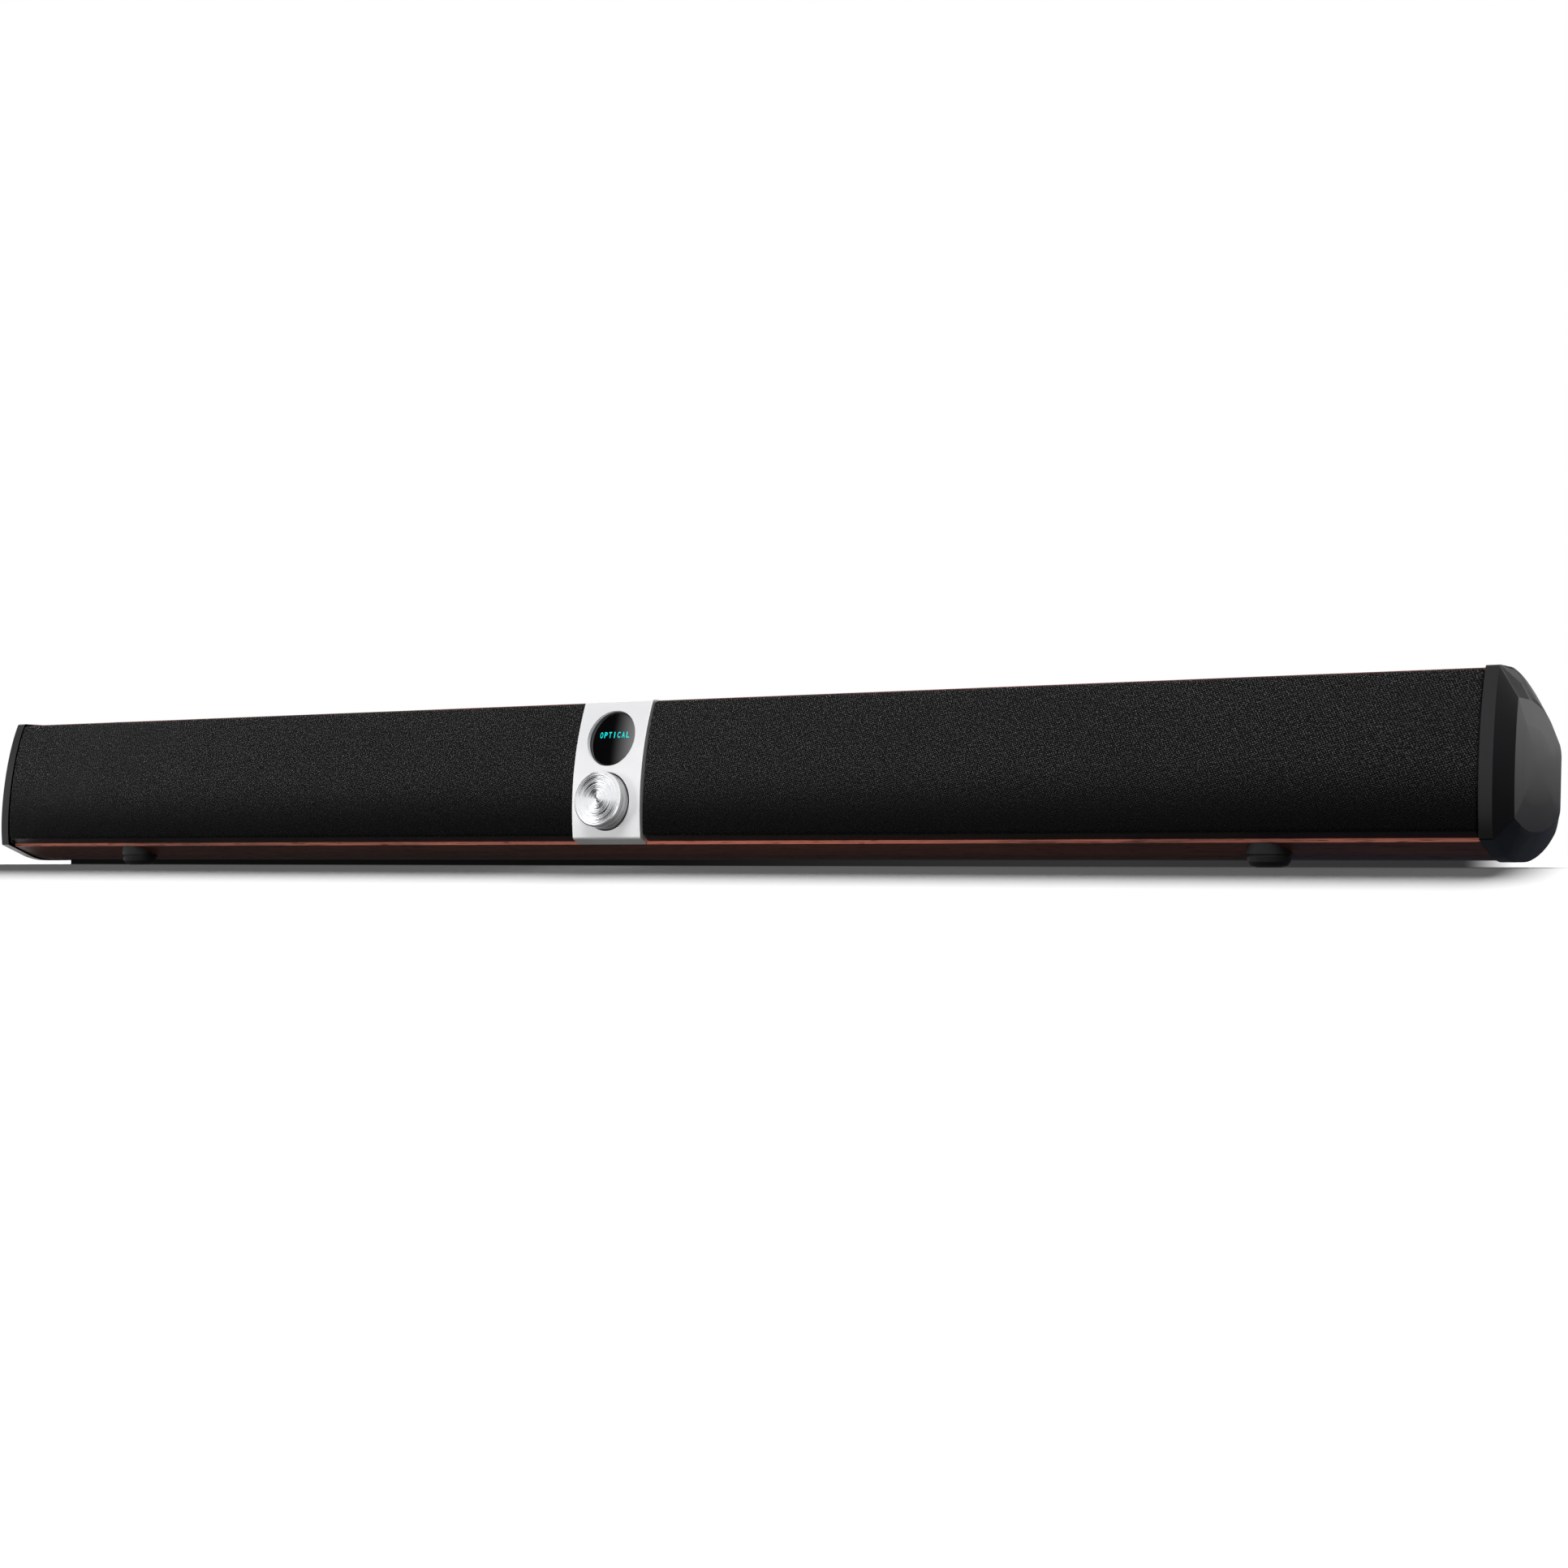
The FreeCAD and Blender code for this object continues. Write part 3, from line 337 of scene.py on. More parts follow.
extruded = Finish("extruded_aluminium", {"Metallic": 1.0})
lines = extruded.cloud(extruded.place((30.0, 3000.0, 3000.0)), 1.0, 3.0)
extruded.set({"Base Color": extruded.mix(lines, (0.60, 0.61, 0.62), (0.74, 0.74, 0.75)),
              "Roughness": 0.30 + lines * 0.16,
              "Normal": extruded.relief(lines, 0.00003)})
dress(extruded, "heat_sink")

# ---- leads and ribbon ----
# Stranded leads in a soft vinyl jacket run behind the baffle to each driver. A flat flexible cable, with
# its conductors showing through the film, joins the control board to the main board.

vinyl = Finish("vinyl_jacket", {"Specular IOR Level": 0.5})
ripple = vinyl.cloud(vinyl.place((160.0, 900.0, 900.0)), 1.0, 3.0)
vinyl.set({"Base Color": vinyl.mix(ripple, (0.012, 0.012, 0.013), (0.024, 0.023, 0.023)),
           "Roughness": 0.34 + ripple * 0.2,
           "Normal": vinyl.relief(ripple, 0.00008)})
dress(vinyl, "speaker_leads")

film = Finish("ribbon_film", {"Specular IOR Level": 0.5})
film_x, _, _ = film.axes(film.place())
copper = film_x.wave(0.001).between(0.35, 0.6)
creases = film.cloud(film.place(), 300.0, 3.0)
film.set({"Base Color": film.mix(copper, (0.50, 0.49, 0.46), (0.33, 0.27, 0.20)),
          "Roughness": 0.24 + creases * 0.2,
          "Normal": film.relief(copper, 0.00005)})
dress(film, "panel_ribbon")

# ---- plunger ----
# The small acetal pin that the spindle presses on, inside the control. Acetal is milky white and slightly
# waxy, turned with a smooth surface.

acetal = Finish("acetal", {"Specular IOR Level": 0.45, "Subsurface Scale": 0.001})
wax = acetal.cloud(acetal.place(), 1200.0, 3.0)
acetal.set({"Base Color": acetal.mix(wax, (0.62, 0.61, 0.58), (0.72, 0.71, 0.68)),
            "Roughness": 0.36 + wax * 0.14})
dress(acetal, "encoder_plunger")

# ---- feet and rear pads ----
# Two moulded rubber feet are screwed under the front, and two strips are stuck under the rear housing.
# The rubber is matt, a little dusty, and polished where it rubs on the table.

sole = Finish("foot_rubber", {"Specular IOR Level": 0.45, "Sheen Weight": 0.12, "Sheen Roughness": 0.5})
dust = sole.cloud(sole.place(), 130.0, 5.0, 0.65)
tooth = sole.cloud(sole.place(), 3000.0, 2.0)
_, _, sole_z = sole.axes(sole.place())
rubbed = 1 - sole_z.between(0.0002, 0.0012)
sole.set({"Base Color": sole.mix(dust.between(0.35, 0.85), (0.007, 0.007, 0.0075), (0.022, 0.021, 0.021)),
          "Roughness": 0.50 + dust * 0.2 - rubbed * 0.15,
          "Normal": sole.relief(tooth, 0.00004)})
dress(sole, "foot_left", "foot_right", "rear_pads")

# ---- grilles ----
# Each grille is a ribbed plastic frame with pegs into the baffle. Black acoustic cloth is stretched over
# its bowed front and round its four edges, and glued behind, so the ribs don't show.

# the front face's own axes start at the middle of its foot: x along the bar, y up the face, z out of it
leans_back = math.radians(9)
front = Matrix.Translation((0, -0.0479133, 0.0152)) @ Matrix.Rotation(math.radians(90) - leans_back, 4, "X")
face_height = 0.0728975
seam_depth = 0.0053


def outline(mesh, corners):
    """A flat face in the plane x = 0 through (across, up, radius, steps) corners, rounded to arcs."""
    points = [mesh.verts.new((0, across, up)) for across, up, radius, steps in corners]
    face = mesh.faces.new(points)
    for number, (point, (across, up, radius, steps)) in enumerate(zip(points, corners)):
        if radius:
            ends = [Vector((0, *corners[(number + way) % len(corners)][:2])) - point.co for way in (-1, 1)]
            reach = radius / math.tan(ends[0].angle(ends[1]) / 2)
            bmesh.ops.bevel(mesh, geom=[point], offset=reach, offset_type="OFFSET", segments=steps,
                            profile=0.5, affect="VERTICES", material=-1)
    return mesh.faces[:][0]


def raised(mesh, face):
    """The face at the end of a new stretch of wall, still at its start."""
    made = bmesh.ops.extrude_face_region(mesh, geom=[face])["geom"]
    return next(item for item in made if isinstance(item, bmesh.types.BMFace))


def piece(mesh, name, finish, stands_for=(), sharp=30):
    """An object of the case, made from a mesh. Edges sharper than so many degrees stay crisp."""
    bmesh.ops.remove_doubles(mesh, verts=mesh.verts, dist=0.000002)
    bmesh.ops.dissolve_degenerate(mesh, edges=mesh.edges, dist=0.000001)
    bmesh.ops.recalc_face_normals(mesh, faces=mesh.faces)
    data = bpy.data.meshes.new(name)
    mesh.to_mesh(data)
    mesh.free()
    data.materials.append(finish.material)
    data.shade_smooth()
    data.set_sharp_from_angle(angle=math.radians(sharp))
    made = bpy.data.objects.new(name, data)
    bpy.context.scene.collection.objects.link(made)
    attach(made, "cabinet")
    if stands_for:
        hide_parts(*stands_for)
    return made


dress(moulded, "grille_frame_left", "grille_frame_right")

weave = Finish("acoustic_cloth", {"Specular IOR Level": 0.13, "Sheen Weight": 0.02, "Sheen Roughness": 0.45})
lie = weave.node("UVMap", {"uv_map": "lie_of_the_cloth"})
warp, weft, _ = weave.axes(lie)
tufts = weave.cloud(lie, 900.0, 2.0, 0.6)
wander = weave.cloud(lie, 160.0, 2.0)
drift = weave.cloud(lie, 26.0, 2.0)
knit = ((warp + weft * 0.55 + wander * 0.0012).wave(0.00125) *
        (weft - warp * 0.3 + wander * 0.0015).wave(0.00105))
stitches = (knit * 0.40 + tufts * 0.95).between(0.46, 0.88)
weave.set({"Base Color": weave.mix(stitches, (0.0020, 0.0020, 0.0021),
                                   weave.mix(drift, (0.066, 0.066, 0.068), (0.088, 0.088, 0.090))),
           "Roughness": 0.70 + tufts * 0.2,
           "Normal": weave.relief(stitches, 0.0004)})

# the face bows with one radius, and the arc is a little tighter, to leave room for the turns at its ends
bow_radius = 0.162
arc_radius = 0.9 * bow_radius
turn_radius = 0.0022
apex = face_height / 2 * math.tan(math.asin(face_height / 2 / bow_radius))
cloth_section = [(0.43 * seam_depth, -seam_depth, 0, 0), (0, 0, turn_radius, 6),
                 (face_height / 2, apex, arc_radius, 22), (face_height, 0, turn_radius, 6),
                 (face_height + 0.16 * seam_depth, -seam_depth, 0, 0)]
for side, start, end in (("left", -0.4640, -0.0225), ("right", 0.0225, 0.4640)):
    cloth = bmesh.new()
    first = outline(cloth, cloth_section)
    bmesh.ops.translate(cloth, verts=first.verts, vec=(start, 0, 0))
    last = raised(cloth, first)
    bmesh.ops.translate(cloth, verts=last.verts, vec=(end - start, 0, 0))
    behind = [face for face in cloth.faces if all(point.co.z < 0.001 - seam_depth for point in face.verts)]
    rim = [edge for edge in cloth.edges if edge not in behind[0].edges and
           abs(edge.verts[0].co.x - edge.verts[1].co.x) < 0.0001]
    bmesh.ops.delete(cloth, geom=behind, context="FACES_ONLY")
    bmesh.ops.bevel(cloth, geom=rim, offset=0.0012, offset_type="OFFSET", segments=4, profile=0.5,
                    affect="EDGES", material=-1)
    laid_out = cloth.loops.layers.uv.new("lie_of_the_cloth")
    cloth.normal_update()
    for face in cloth.faces:
        turned_away = max(range(3), key=lambda way: abs(face.normal[way]))
        for loop in face.loops:
            x, up, out = loop.vert.co
            loop[laid_out].uv = ((out, up), (x, out), (x, up))[turned_away]
    bmesh.ops.transform(cloth, matrix=front, verts=cloth.verts)
    grille = piece(cloth, f"stretched_cloth_{side}", weave, (f"grille_cloth_{side}",),
                   sharp=60)

# ---- control panel ----
# A die-cast panel, bowed like the grilles and standing a millimetre proud of them. It is bead-blasted and
# anodised in natural silver, which leaves its surface even and its edges bright.

silver = Finish("blasted_silver", {"Metallic": 0.50, "Specular IOR Level": 0.5})
beads = silver.cloud(silver.place(), 5200.0, 2.0)
haze = silver.cloud(silver.place(), 45.0, 3.0)
display = front @ Matrix.Translation((0, 0.0525975, 0.0046828)) @ Matrix.Rotation(math.radians(-6.359), 4, "X")
bore_axis = tuple(display.to_3x3() @ Vector((0, 0, 1)))
from_bore = silver.node("TexCoord", output="Object") - tuple(display.translation)
bore_depth = from_bore.dot(bore_axis)
from_axis = from_bore - bore_depth * bore_axis
# the wall of the display's bore is shaded as if it flared, so that its edge catches the light
bore_edge, flare = 0.01542, 0.42
countersink = (from_axis.length() < bore_edge) * (bore_depth < -0.0001)
flared = (tuple(flare * part for part in bore_axis) - from_axis.unit()).unit()
plain = silver.node("TexCoord", output="Normal")
to_world = {"vector_type": "NORMAL", "convert_from": "OBJECT", "convert_to": "WORLD"}
eased = silver.node("VectorTransform", to_world, {"Vector": (plain + (flared - plain) * countersink).unit()})
silver.set({"Base Color": silver.mix(haze.between(0.3, 0.7), (0.87, 0.87, 0.88), (0.91, 0.91, 0.915)),
            "Roughness": 0.33 + beads * 0.08 + haze * 0.03,
            "Normal": silver.node("Bump", {}, {"Height": beads, "Distance": 0.000006, "Normal": eased})})
dress(silver, "control_panel")

# ---- display ----
# A black ring in the panel holds a domed lens of smoked, polished plastic. The module behind it shows the
# name of the input in small cyan letters, seen through the lens.

trim = Finish("black_trim", {"Specular IOR Level": 0.5})
hone = trim.cloud(trim.place(), 2800.0, 3.0)
trim.set({"Base Color": trim.mix(hone, (0.008, 0.008, 0.009), (0.013, 0.013, 0.014)),
          "Roughness": 0.30 + hone * 0.14})
dress(trim, "display_bezel", "knob_ring")

smoked = Finish("smoked_lens", {"IOR": 1.95})
swirl = smoked.cloud(smoked.place(), 90.0, 3.0)
lens_top = -0.00155
lens_curve = 0.2338
ball = display @ Vector((0, 0, lens_top - lens_curve))
from_ball = smoked.node("TexCoord", output="Object") - ball
# the lens is shaded as one smooth dome
domed = smoked.node("VectorTransform", to_world, {"Vector": from_ball.unit()})
smoked.set({"Base Color": smoked.mix(swirl, (0.0018, 0.0018, 0.0020), (0.0030, 0.0030, 0.0034)),
            "Roughness": 0.035 + swirl * 0.02,
            "Normal": domed})
dress(smoked, "display_lens")

letter_height, letter_width = 0.0033, 0.0019
letter_pitch, letter_raise, letter_shift = 0.00285, 0.0022, 0.0006
above_lens, flattening = 0.00004, 0.002
word = bmesh.new()
for number, letter in enumerate("OPTICAL"):
    glyph = bpy.data.curves.new("glyph", "FONT")
    glyph.body = letter
    glyph.align_x = "CENTER"
    glyph.extrude = 0.01
    glyph.offset = 0.018
    flat = bpy.data.meshes.new_from_object(bpy.data.objects.new("glyph", glyph))
    across = [point.co.x for point in flat.vertices]
    up = [point.co.y for point in flat.vertices]
    low = min(up)
    stretch = letter_height / (max(up) - low)
    narrow = stretch * min(1.0, letter_width / ((max(across) - min(across)) * stretch))
    middle_x = (max(across) + min(across)) / 2
    for point in flat.vertices:
        x = (point.co.x - middle_x) * narrow + (number - 3) * letter_pitch + letter_shift
        y = (point.co.y - low) * stretch + letter_raise - letter_height / 2
        fall = (x * x + y * y) / (2 * lens_curve)
        point.co = (x, y, lens_top - fall + above_lens + point.co.z * flattening)
    word.from_mesh(flat)
bmesh.ops.transform(word, matrix=display, verts=word.verts)

glow = Finish("display_glow", {"Roughness": 0.5, "Specular IOR Level": 0.1, "Emission Strength": 1.15})
matrix_dots = glow.cloud(glow.place(), 4000.0, 1.0)
glow.set({"Base Color": (0.002, 0.02, 0.02),
          "Emission Color": glow.mix(matrix_dots, (0.0, 0.60, 0.62), (0.02, 0.82, 0.80))})
piece(word, "display_word", glow, sharp=20)

# ---- knob ----
# A turned aluminium cap is pressed on a plastic hub on the spindle. The lathe leaves rings too fine to
# see, which spread each light across them into bright and dull wedges from the middle.

spun = Finish("spun_aluminium", {"Metallic": 1.0})
knob_axis = (0.0, -math.cos(leans_back), math.sin(leans_back))
at = spun.place(shift=(0.0, 0.0450192, -0.0334722))
along = at.dot(knob_axis)
outwards = at - along * knob_axis
radius = outwards.length()
plain = spun.node("TexCoord", output="Normal")
across = plain.cross(outwards.unit().cross(knob_axis))
rings_per_metre, ring_tilt = 9000.0, 0.52
ring_number = spun.node("Math", {"operation": "FLOOR"}, {0: (radius + along) * rings_per_metre})
cut = spun.node("TexWhiteNoise", {"noise_dimensions": "1D"}, {"W": ring_number})
coarse = spun.node("TexNoise", {"noise_dimensions": "1D"}, {"W": (radius + along) * 1600.0, "Detail": 1.0})
tilted = (plain + across * ((cut - 0.5) * ring_tilt)).unit()
turned = spun.node("VectorTransform", to_world, {"Vector": tilted})
# painted shade: the small dimple at the middle of the knob is coloured dark brown
painted_dimple_shade = 1 - radius.between(0.0004, 0.0007)
# painted shade: the knob's side wall, where its surface turns away from the axis, gets a darker copy of the
# metal colour
painted_side_shade = 1 - plain.dot(knob_axis).between(0.2, 0.7)
metal = spun.mix(coarse, (0.80, 0.815, 0.83), (0.88, 0.885, 0.89))
spun.set({"Base Color": spun.mix(painted_dimple_shade * 0.8, spun.mix(painted_side_shade, metal, (0.42, 0.42, 0.425)), (0.10, 0.09, 0.08)),
          "Roughness": 0.11 + coarse * 0.07,
          "Normal": turned})
dress(spun, "knob_cap")

# ---- end caps ----
# Each end is closed by a moulded black cap, glossy but for a fine grain. A straight rim hides the edge of
# the wrap, and facets lead from it to a slightly domed end face; its back is hollow.

gloss = Finish("gloss_black_plastic", {"Specular IOR Level": 0.34})
grit = gloss.cloud(gloss.place(), 4200.0, 2.0)
touch = gloss.cloud(gloss.place(), 22.0, 4.0, 0.6)
gloss.set({"Base Color": gloss.mix(touch.between(0.3, 0.7), (0.0050, 0.0050, 0.0058), (0.0075, 0.0075, 0.0085)),
           "Roughness": 0.27 + grit * 0.04 + touch * 0.06,
           "Normal": gloss.relief(grit, 0.000008)})

# the caps are drawn in millimetres, x along the bar and y back from the foot of the front face
section = Matrix.Translation((0, -0.04791328, 0)) @ Matrix.Scale(0.001, 4)
bow_steps = 20
rim_start, rim_depth, crease_depth, end_plane = 464.8, 6.0, 7.1, 477.9
crease_bulge = 0.4
hollow_share, hollow_depth = 0.93, 5.0
rim_section = [(0.2, 12.3, 0.8, 4), None, (12.28, 88.6, 1.5, 6), (33.3, 88.6, 30, 12),
               (69.0, 82.3, 130, 8), (106.5, 55.6, 18, 10), (106.5, 19.9, 18, 10), (70.6, 2.4, 100, 8),
               (25.1, 2.4, 40, 10)]
end_section = [(8.4, 21.5, 0.6, 4), None, (15.98, 74.2, 0.6, 6), (36.3, 74.0, 40, 12),
               (60.0, 69.5, 50, 8), (84.0, 54.1, 7, 10), (80.5, 23.2, 6, 10), (56.0, 15.9, 70, 8),
               (27.1, 15.6, 60, 10)]


def bow_corner(start, end):
    """Where the tangents at both ends of the bowed front meet."""
    run = Vector(end[:2]) - Vector(start[:2])
    half = run.length / 2
    rise = half * math.tan(math.asin(half / (bow_radius * 1000)))
    middle = (Vector(start[:2]) + Vector(end[:2])) / 2 + Vector((-run.y, run.x)).normalized() * rise
    return (middle.x, middle.y, arc_radius * 1000, bow_steps)


for corners in (rim_section, end_section):
    corners[1] = bow_corner(corners[0], corners[2])
# how far the crease between the two rows of facets has left the rim, at the start and end of each corner
crease_share = [(0, 0), (0, 0), (0, 0), (0.10, 0.87), (0.90, 0.93), (1, 1), (1, 1), (0.96, 0.94), (0.86, 0.84)]
for side, way in (("right", 1), ("left", -1)):
    target = bmesh.new()
    goal = [point.co.copy() for point in outline(target, end_section).verts]
    target.free()
    cap = bmesh.new()
    back = outline(cap, rim_section)
    edge_of_rim = [point.co.copy() for point in back.verts]
    bmesh.ops.translate(cap, verts=back.verts, vec=(rim_start, 0, 0))
    rim = raised(cap, back)
    bmesh.ops.translate(cap, verts=rim.verts, vec=(rim_depth, 0, 0))
    crease = raised(cap, rim)
    shares = []
    for (from_share, to_share), corner in zip(crease_share, rim_section):
        shares += [from_share + (to_share - from_share) * step / corner[3] for step in range(corner[3] + 1)]
    for point, start, end, share in zip(crease.verts, edge_of_rim, goal, shares):
        point.co = start.lerp(end, share)
        point.co.x = rim_start + rim_depth + crease_depth * (share + crease_bulge * share * (1 - share))
    end_face = raised(cap, crease)
    for point, place in zip(end_face.verts, goal):
        point.co = (end_plane, place.y, place.z)
    centre = sum(goal, Vector()) / len(goal)
    for shrink, rise in ((0.94, 0.10), (0.80, 0.33), (0.60, 0.60), (0.36, 0.81), (0.12, 0.90)):
        end_face = raised(cap, end_face)
        for point, place in zip(end_face.verts, goal):
            point.co = (end_plane + rise, *(centre + (place - centre) * shrink).yz)
    hollow = raised(cap, back)
    for point, place in zip(hollow.verts, edge_of_rim):
        point.co = (rim_start, *(centre + (place - centre) * hollow_share).yz)
    floor_of_hollow = raised(cap, hollow)
    bmesh.ops.translate(cap, verts=floor_of_hollow.verts, vec=(hollow_depth, 0, 0))
    bmesh.ops.scale(cap, verts=cap.verts, vec=(way, 1, 1))
    bmesh.ops.transform(cap, matrix=section, verts=cap.verts)
    piece(cap, f"faceted_cap_{side}", gloss, (f"end_cap_{side}",), sharp=7)

# ---- studio ----
# A white table under a sun a little behind the bar, so that its soft shadow falls forwards, and a strip of
# painted shadow in the gap beneath. The other lamps each light only some pieces. Cards, seen only in
# reflections, give the metal, the lens and the gloss black their lights and darks.


def staged(mesh, name, finish):
    """A mesh of the set, which is not part of the object."""
    data = bpy.data.meshes.new(name)
    mesh.to_mesh(data)
    mesh.free()
    data.materials.append(finish.material)
    made = bpy.data.objects.new(name, data)
    bpy.context.scene.collection.objects.link(made)
    return made


def screen(name, place, towards, width, height, across=(2, 3), above=(-2, -1), light=1.0, dark=0.004):
    """A flat card facing a point, dark all over unless told otherwise. It eases to light between two shares
    of its extent along X, and beneath two shares of its height, or over them if the first is the higher."""
    mesh = bmesh.new()
    bmesh.ops.create_grid(mesh, x_segments=1, y_segments=1, size=0.5)
    bmesh.ops.scale(mesh, verts=mesh.verts, vec=(width, height, 1))
    aim = (Vector(towards) - Vector(place)).to_track_quat("Z", "Y").to_matrix().to_4x4()
    bmesh.ops.transform(mesh, matrix=Matrix.Translation(place) @ aim, verts=mesh.verts)
    card = Finish(name, {"Base Color": (0, 0, 0), "Roughness": 1.0, "Specular IOR Level": 0.0,
                         "Emission Strength": 1.0})
    share_x, _, share_z = card.axes(card.node("TexCoord", output="Generated"))
    shaded = (1 - share_x.between(*across)) * share_z.between(*above)
    bluish_dark = (dark, dark * 1.1, dark * 1.4)
    card.set({"Emission Color": card.mix(shaded, (light, light, light), bluish_dark)})
    made = staged(mesh, name, card)
    made.visible_camera = made.visible_diffuse = made.visible_shadow = False
    made.visible_transmission = made.visible_volume_scatter = False


table = Finish("white_table", {"Roughness": 0.9, "Specular IOR Level": 0.0})
ray = table.node("LightPath", output="Is Camera Ray")
for other in ("Is Glossy Ray", "Is Transmission Ray"):
    ray = ray + table.node("LightPath", output=other)
seen = ray.between(0.0, 1.0)
table.set({"Base Color": table.mix(seen, (0.05, 0.05, 0.05), (0.95, 0.95, 0.95))})
lit = table.node("Emission", {}, {"Color": (1, 1, 1), "Strength": seen * 0.05})
both = table.node("AddShader", {}, {0: Signal(table, table.shader.outputs[0]), 1: lit})
# seen from beneath, the table is clear
under = table.node("NewGeometry", output="Backfacing")
surface = table.node("MixShader", {}, {0: under, 1: both, 2: table.node("BsdfTransparent")})
table.tree.links.new(surface.socket, table.tree.nodes["Material Output"].inputs["Surface"])
# in front of the bar the table slopes down, so that the low camera looks onto it
table_reach, fold, slope_angle = 4.0, -0.058, math.radians(8)
floor = bmesh.new()
bmesh.ops.create_grid(floor, x_segments=1, y_segments=1, size=table_reach)
for point in floor.verts:
    point.co.y = fold if point.co.y < 0 else table_reach
edge = next(e for e in floor.edges if all(abs(v.co.y - fold) < 0.001 for v in e.verts))
slope = bmesh.ops.extrude_edge_only(floor, edges=[edge])["geom"]
bmesh.ops.translate(floor, verts=[v for v in slope if isinstance(v, bmesh.types.BMVert)],
                    vec=(0, -table_reach, -table_reach * math.tan(slope_angle)))
bmesh.ops.recalc_face_normals(floor, faces=floor.faces)
if floor.faces[:][0].normal.z < 0:
    bmesh.ops.reverse_faces(floor, faces=floor.faces)
table_top = staged(floor, "table_top", table)

# painted shadow: a faintly glowing strip under the bar, darkest over its left half and lighter towards its
# right end, where it fades out
gap_shadow_finish = Finish("painted_shadow_strip", {"Base Color": (0.01, 0.01, 0.01), "Roughness": 1.0, "Specular IOR Level": 0.0,
                            "Emission Strength": 1.0})
share_x, _, _ = gap_shadow_finish.axes(gap_shadow_finish.node("TexCoord", output="Generated"))
gap_shadow_finish.set({"Emission Color": gap_shadow_finish.mix(share_x.between(0.45, 0.80), (0.004, 0.004, 0.004), (0.034, 0.034, 0.036)),
          "Alpha": 1 - share_x.between(0.965, 1.0)})
strip_length, gap_height = 0.945, 0.0085
strip = bmesh.new()
bmesh.ops.create_grid(strip, x_segments=1, y_segments=1, size=0.5)
bmesh.ops.scale(strip, verts=strip.verts, vec=(strip_length, gap_height, 1))
bmesh.ops.rotate(strip, verts=strip.verts, matrix=Matrix.Rotation(math.radians(90), 3, "X"))
bmesh.ops.translate(strip, verts=strip.verts, vec=(0, 0.010, gap_height / 2))
staged(strip, "painted_shadow_strip", gap_shadow_finish)

# the room looks white, and lights the set with only a small share of that
world = bpy.data.worlds.new("white_room")
bpy.context.scene.world = world
world.use_nodes = True
sky = world.node_tree
path = sky.nodes.new("ShaderNodeLightPath")
looked_at = path.outputs["Is Camera Ray"]
for other in ("Is Glossy Ray", "Is Transmission Ray"):
    either = sky.nodes.new("ShaderNodeMath")
    either.operation = "MAXIMUM"
    sky.links.new(looked_at, either.inputs[0])
    sky.links.new(path.outputs[other], either.inputs[1])
    looked_at = either.outputs[0]
level = sky.nodes.new("ShaderNodeMapRange")
level.inputs["To Min"].default_value = 0.07
level.inputs["To Max"].default_value = 1.0
sky.links.new(looked_at, level.inputs["Value"])
room = sky.nodes["Background"]
room.inputs["Color"].default_value = (1, 1, 1, 1)
sky.links.new(level.outputs[0], room.inputs["Strength"])

panel_middle = (0.0, -0.055, 0.045)
screen("screen_high_left", (-1.15, -0.98, 0.98), panel_middle, 0.95, 1.00, (0.85, 1.0), (0.0, 0.18))
screen("screen_high_mid", (-0.596, -0.822, 0.545), panel_middle, 0.30, 0.36, (0.33, 0.85), light=2.2)
screen("screen_low_right", (-0.22, -0.655, 0.055), panel_middle, 0.30, 0.29, dark=0.02)
screen("screen_low_left", (-0.43, -0.605, 0.085), panel_middle, 0.07, 0.18, (-2, -1), light=3.0)
screen("screen_high_right", (-0.16, -0.78, 0.62), panel_middle, 0.22, 0.34, dark=0.75)
screen("screen_right", (1.02, -0.13, 0.14), (0.475, -0.045, 0.05), 0.34, 0.36, dark=0.02)
screen("screen_behind", (0.95, 1.45, 0.30), (0.478, 0.0, 0.05), 1.10, 0.62, above=(0.52, 0.0), light=1.45)
screen("screen_behind_top", (0.61, 1.25, 0.47), (0.478, 0.0, 0.08), 0.46, 0.56, dark=0.006)
screen("screen_on_table", (1.00, 0.45, 0.0005), (1.00, 0.45, 1.0), 1.30, 2.00, dark=0.06)


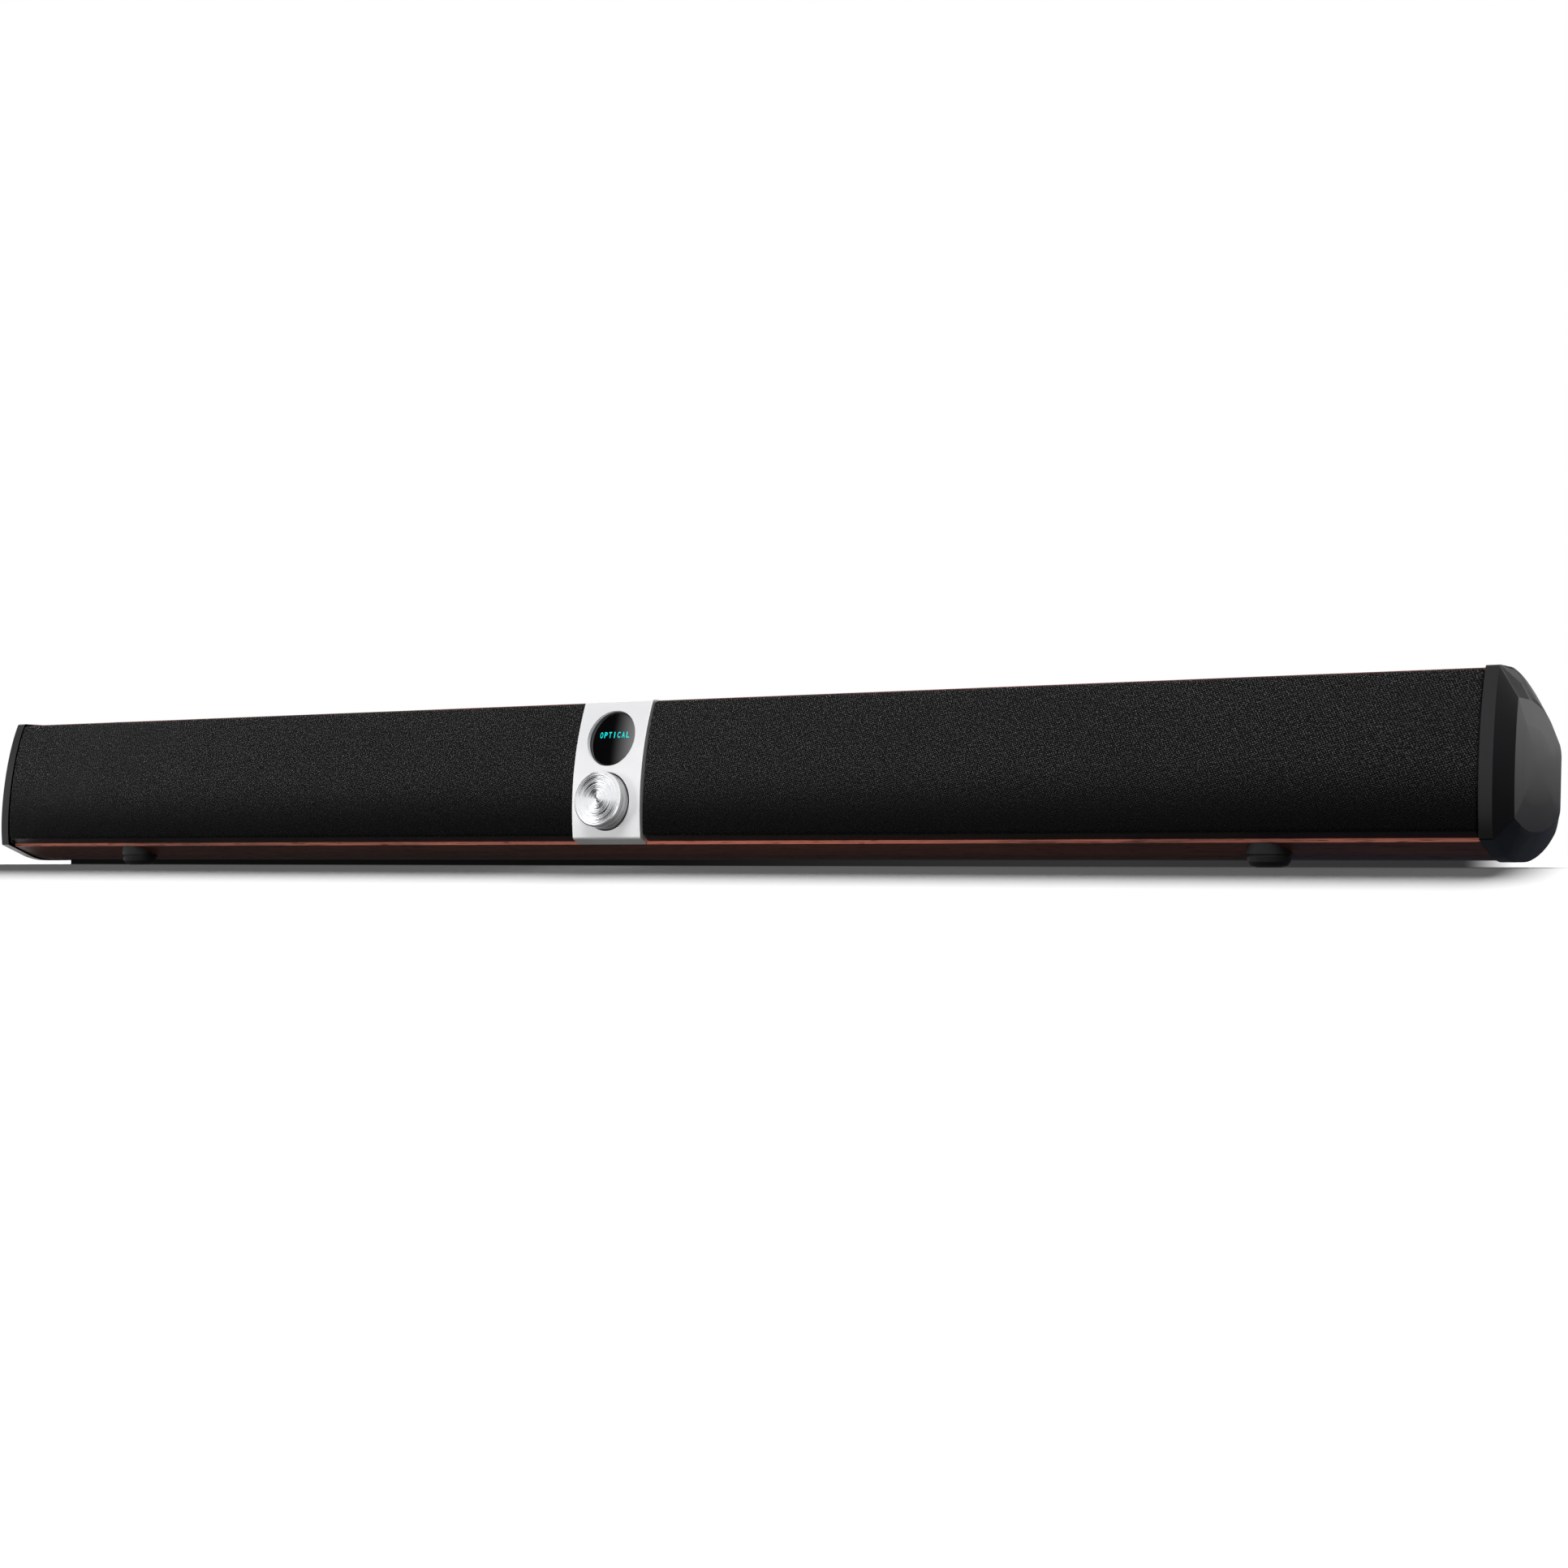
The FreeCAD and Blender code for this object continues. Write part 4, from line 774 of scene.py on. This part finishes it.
def soft_lamp(name, kind, place, target, strength, spread, lit_things):
    """A lamp that reflections don't show, and that lights nothing but the things it is given."""
    lamp = bpy.data.lights.new(name, kind)
    lamp.energy = strength
    if kind == "SUN":
        lamp.angle = spread
    else:
        lamp.shape, lamp.size = "SQUARE", spread
    made = bpy.data.objects.new(name, lamp)
    made.location = place
    made.rotation_euler = (Vector(target) - Vector(place)).to_track_quat("-Z", "Y").to_euler()
    made.visible_glossy = False
    bpy.context.scene.collection.objects.link(made)
    made.light_linking.receiver_collection = bpy.data.collections.new("lit_by_" + name)
    for thing in lit_things:
        made.light_linking.receiver_collection.objects.link(thing)
    return made


shell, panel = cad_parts["cabinet_shell"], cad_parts["control_panel"]
meshes = [thing for thing in bpy.context.scene.objects if thing.type == "MESH" and thing != table_top]
graded = [thing for thing in meshes if thing.name.startswith(("stretched_cloth", "faceted_cap"))]
plain_lit = [thing for thing in meshes if thing not in graded and thing != shell]
sun_width = math.radians(20)
soft_lamp("overhead", "SUN", (-0.28, 0.94, 1.32), (0, 0, 0), 4.6, sun_width, [table_top])
soft_lamp("from_behind", "SUN", (-0.40, 0.96, 1.30), (0, 0, 0), 1.1, sun_width, meshes)
soft_lamp("fill", "AREA", (0.1, -0.90, 1.5), (0, 0, 0.04), 36.0, 0.9, plain_lit)
soft_lamp("wood_fill", "AREA", (0.1, -1.60, 0.62), (0, 0, 0.02), 32.0, 0.6, [shell])
soft_lamp("panel_fill", "AREA", (0.15, -1.50, -0.05), (0, 0, 0.04), 9.0, 0.4, [panel])
# a long, narrow beam whose lower edge falls across the cloth, so that the cloth darkens towards its foot
beam = soft_lamp("beam", "AREA", (0.0, -0.45, 0.475), (0, -0.05, 0.131), 0.60, 1.3, graded).data
beam.shape, beam.size_y, beam.spread = "RECTANGLE", 0.14, math.radians(3)

camera = bpy.data.cameras.new("camera")
camera.lens = 58.0
camera.sensor_width = 36.0
viewer = bpy.data.objects.new("camera", camera)
viewer.location = (0.79281, -1.12909, 0.0053)
viewer.rotation_euler = (math.radians(91.63), 0, math.radians(32.25))
bpy.context.scene.collection.objects.link(viewer)
bpy.context.scene.camera = viewer
bpy.context.scene.view_settings.view_transform = "Standard"
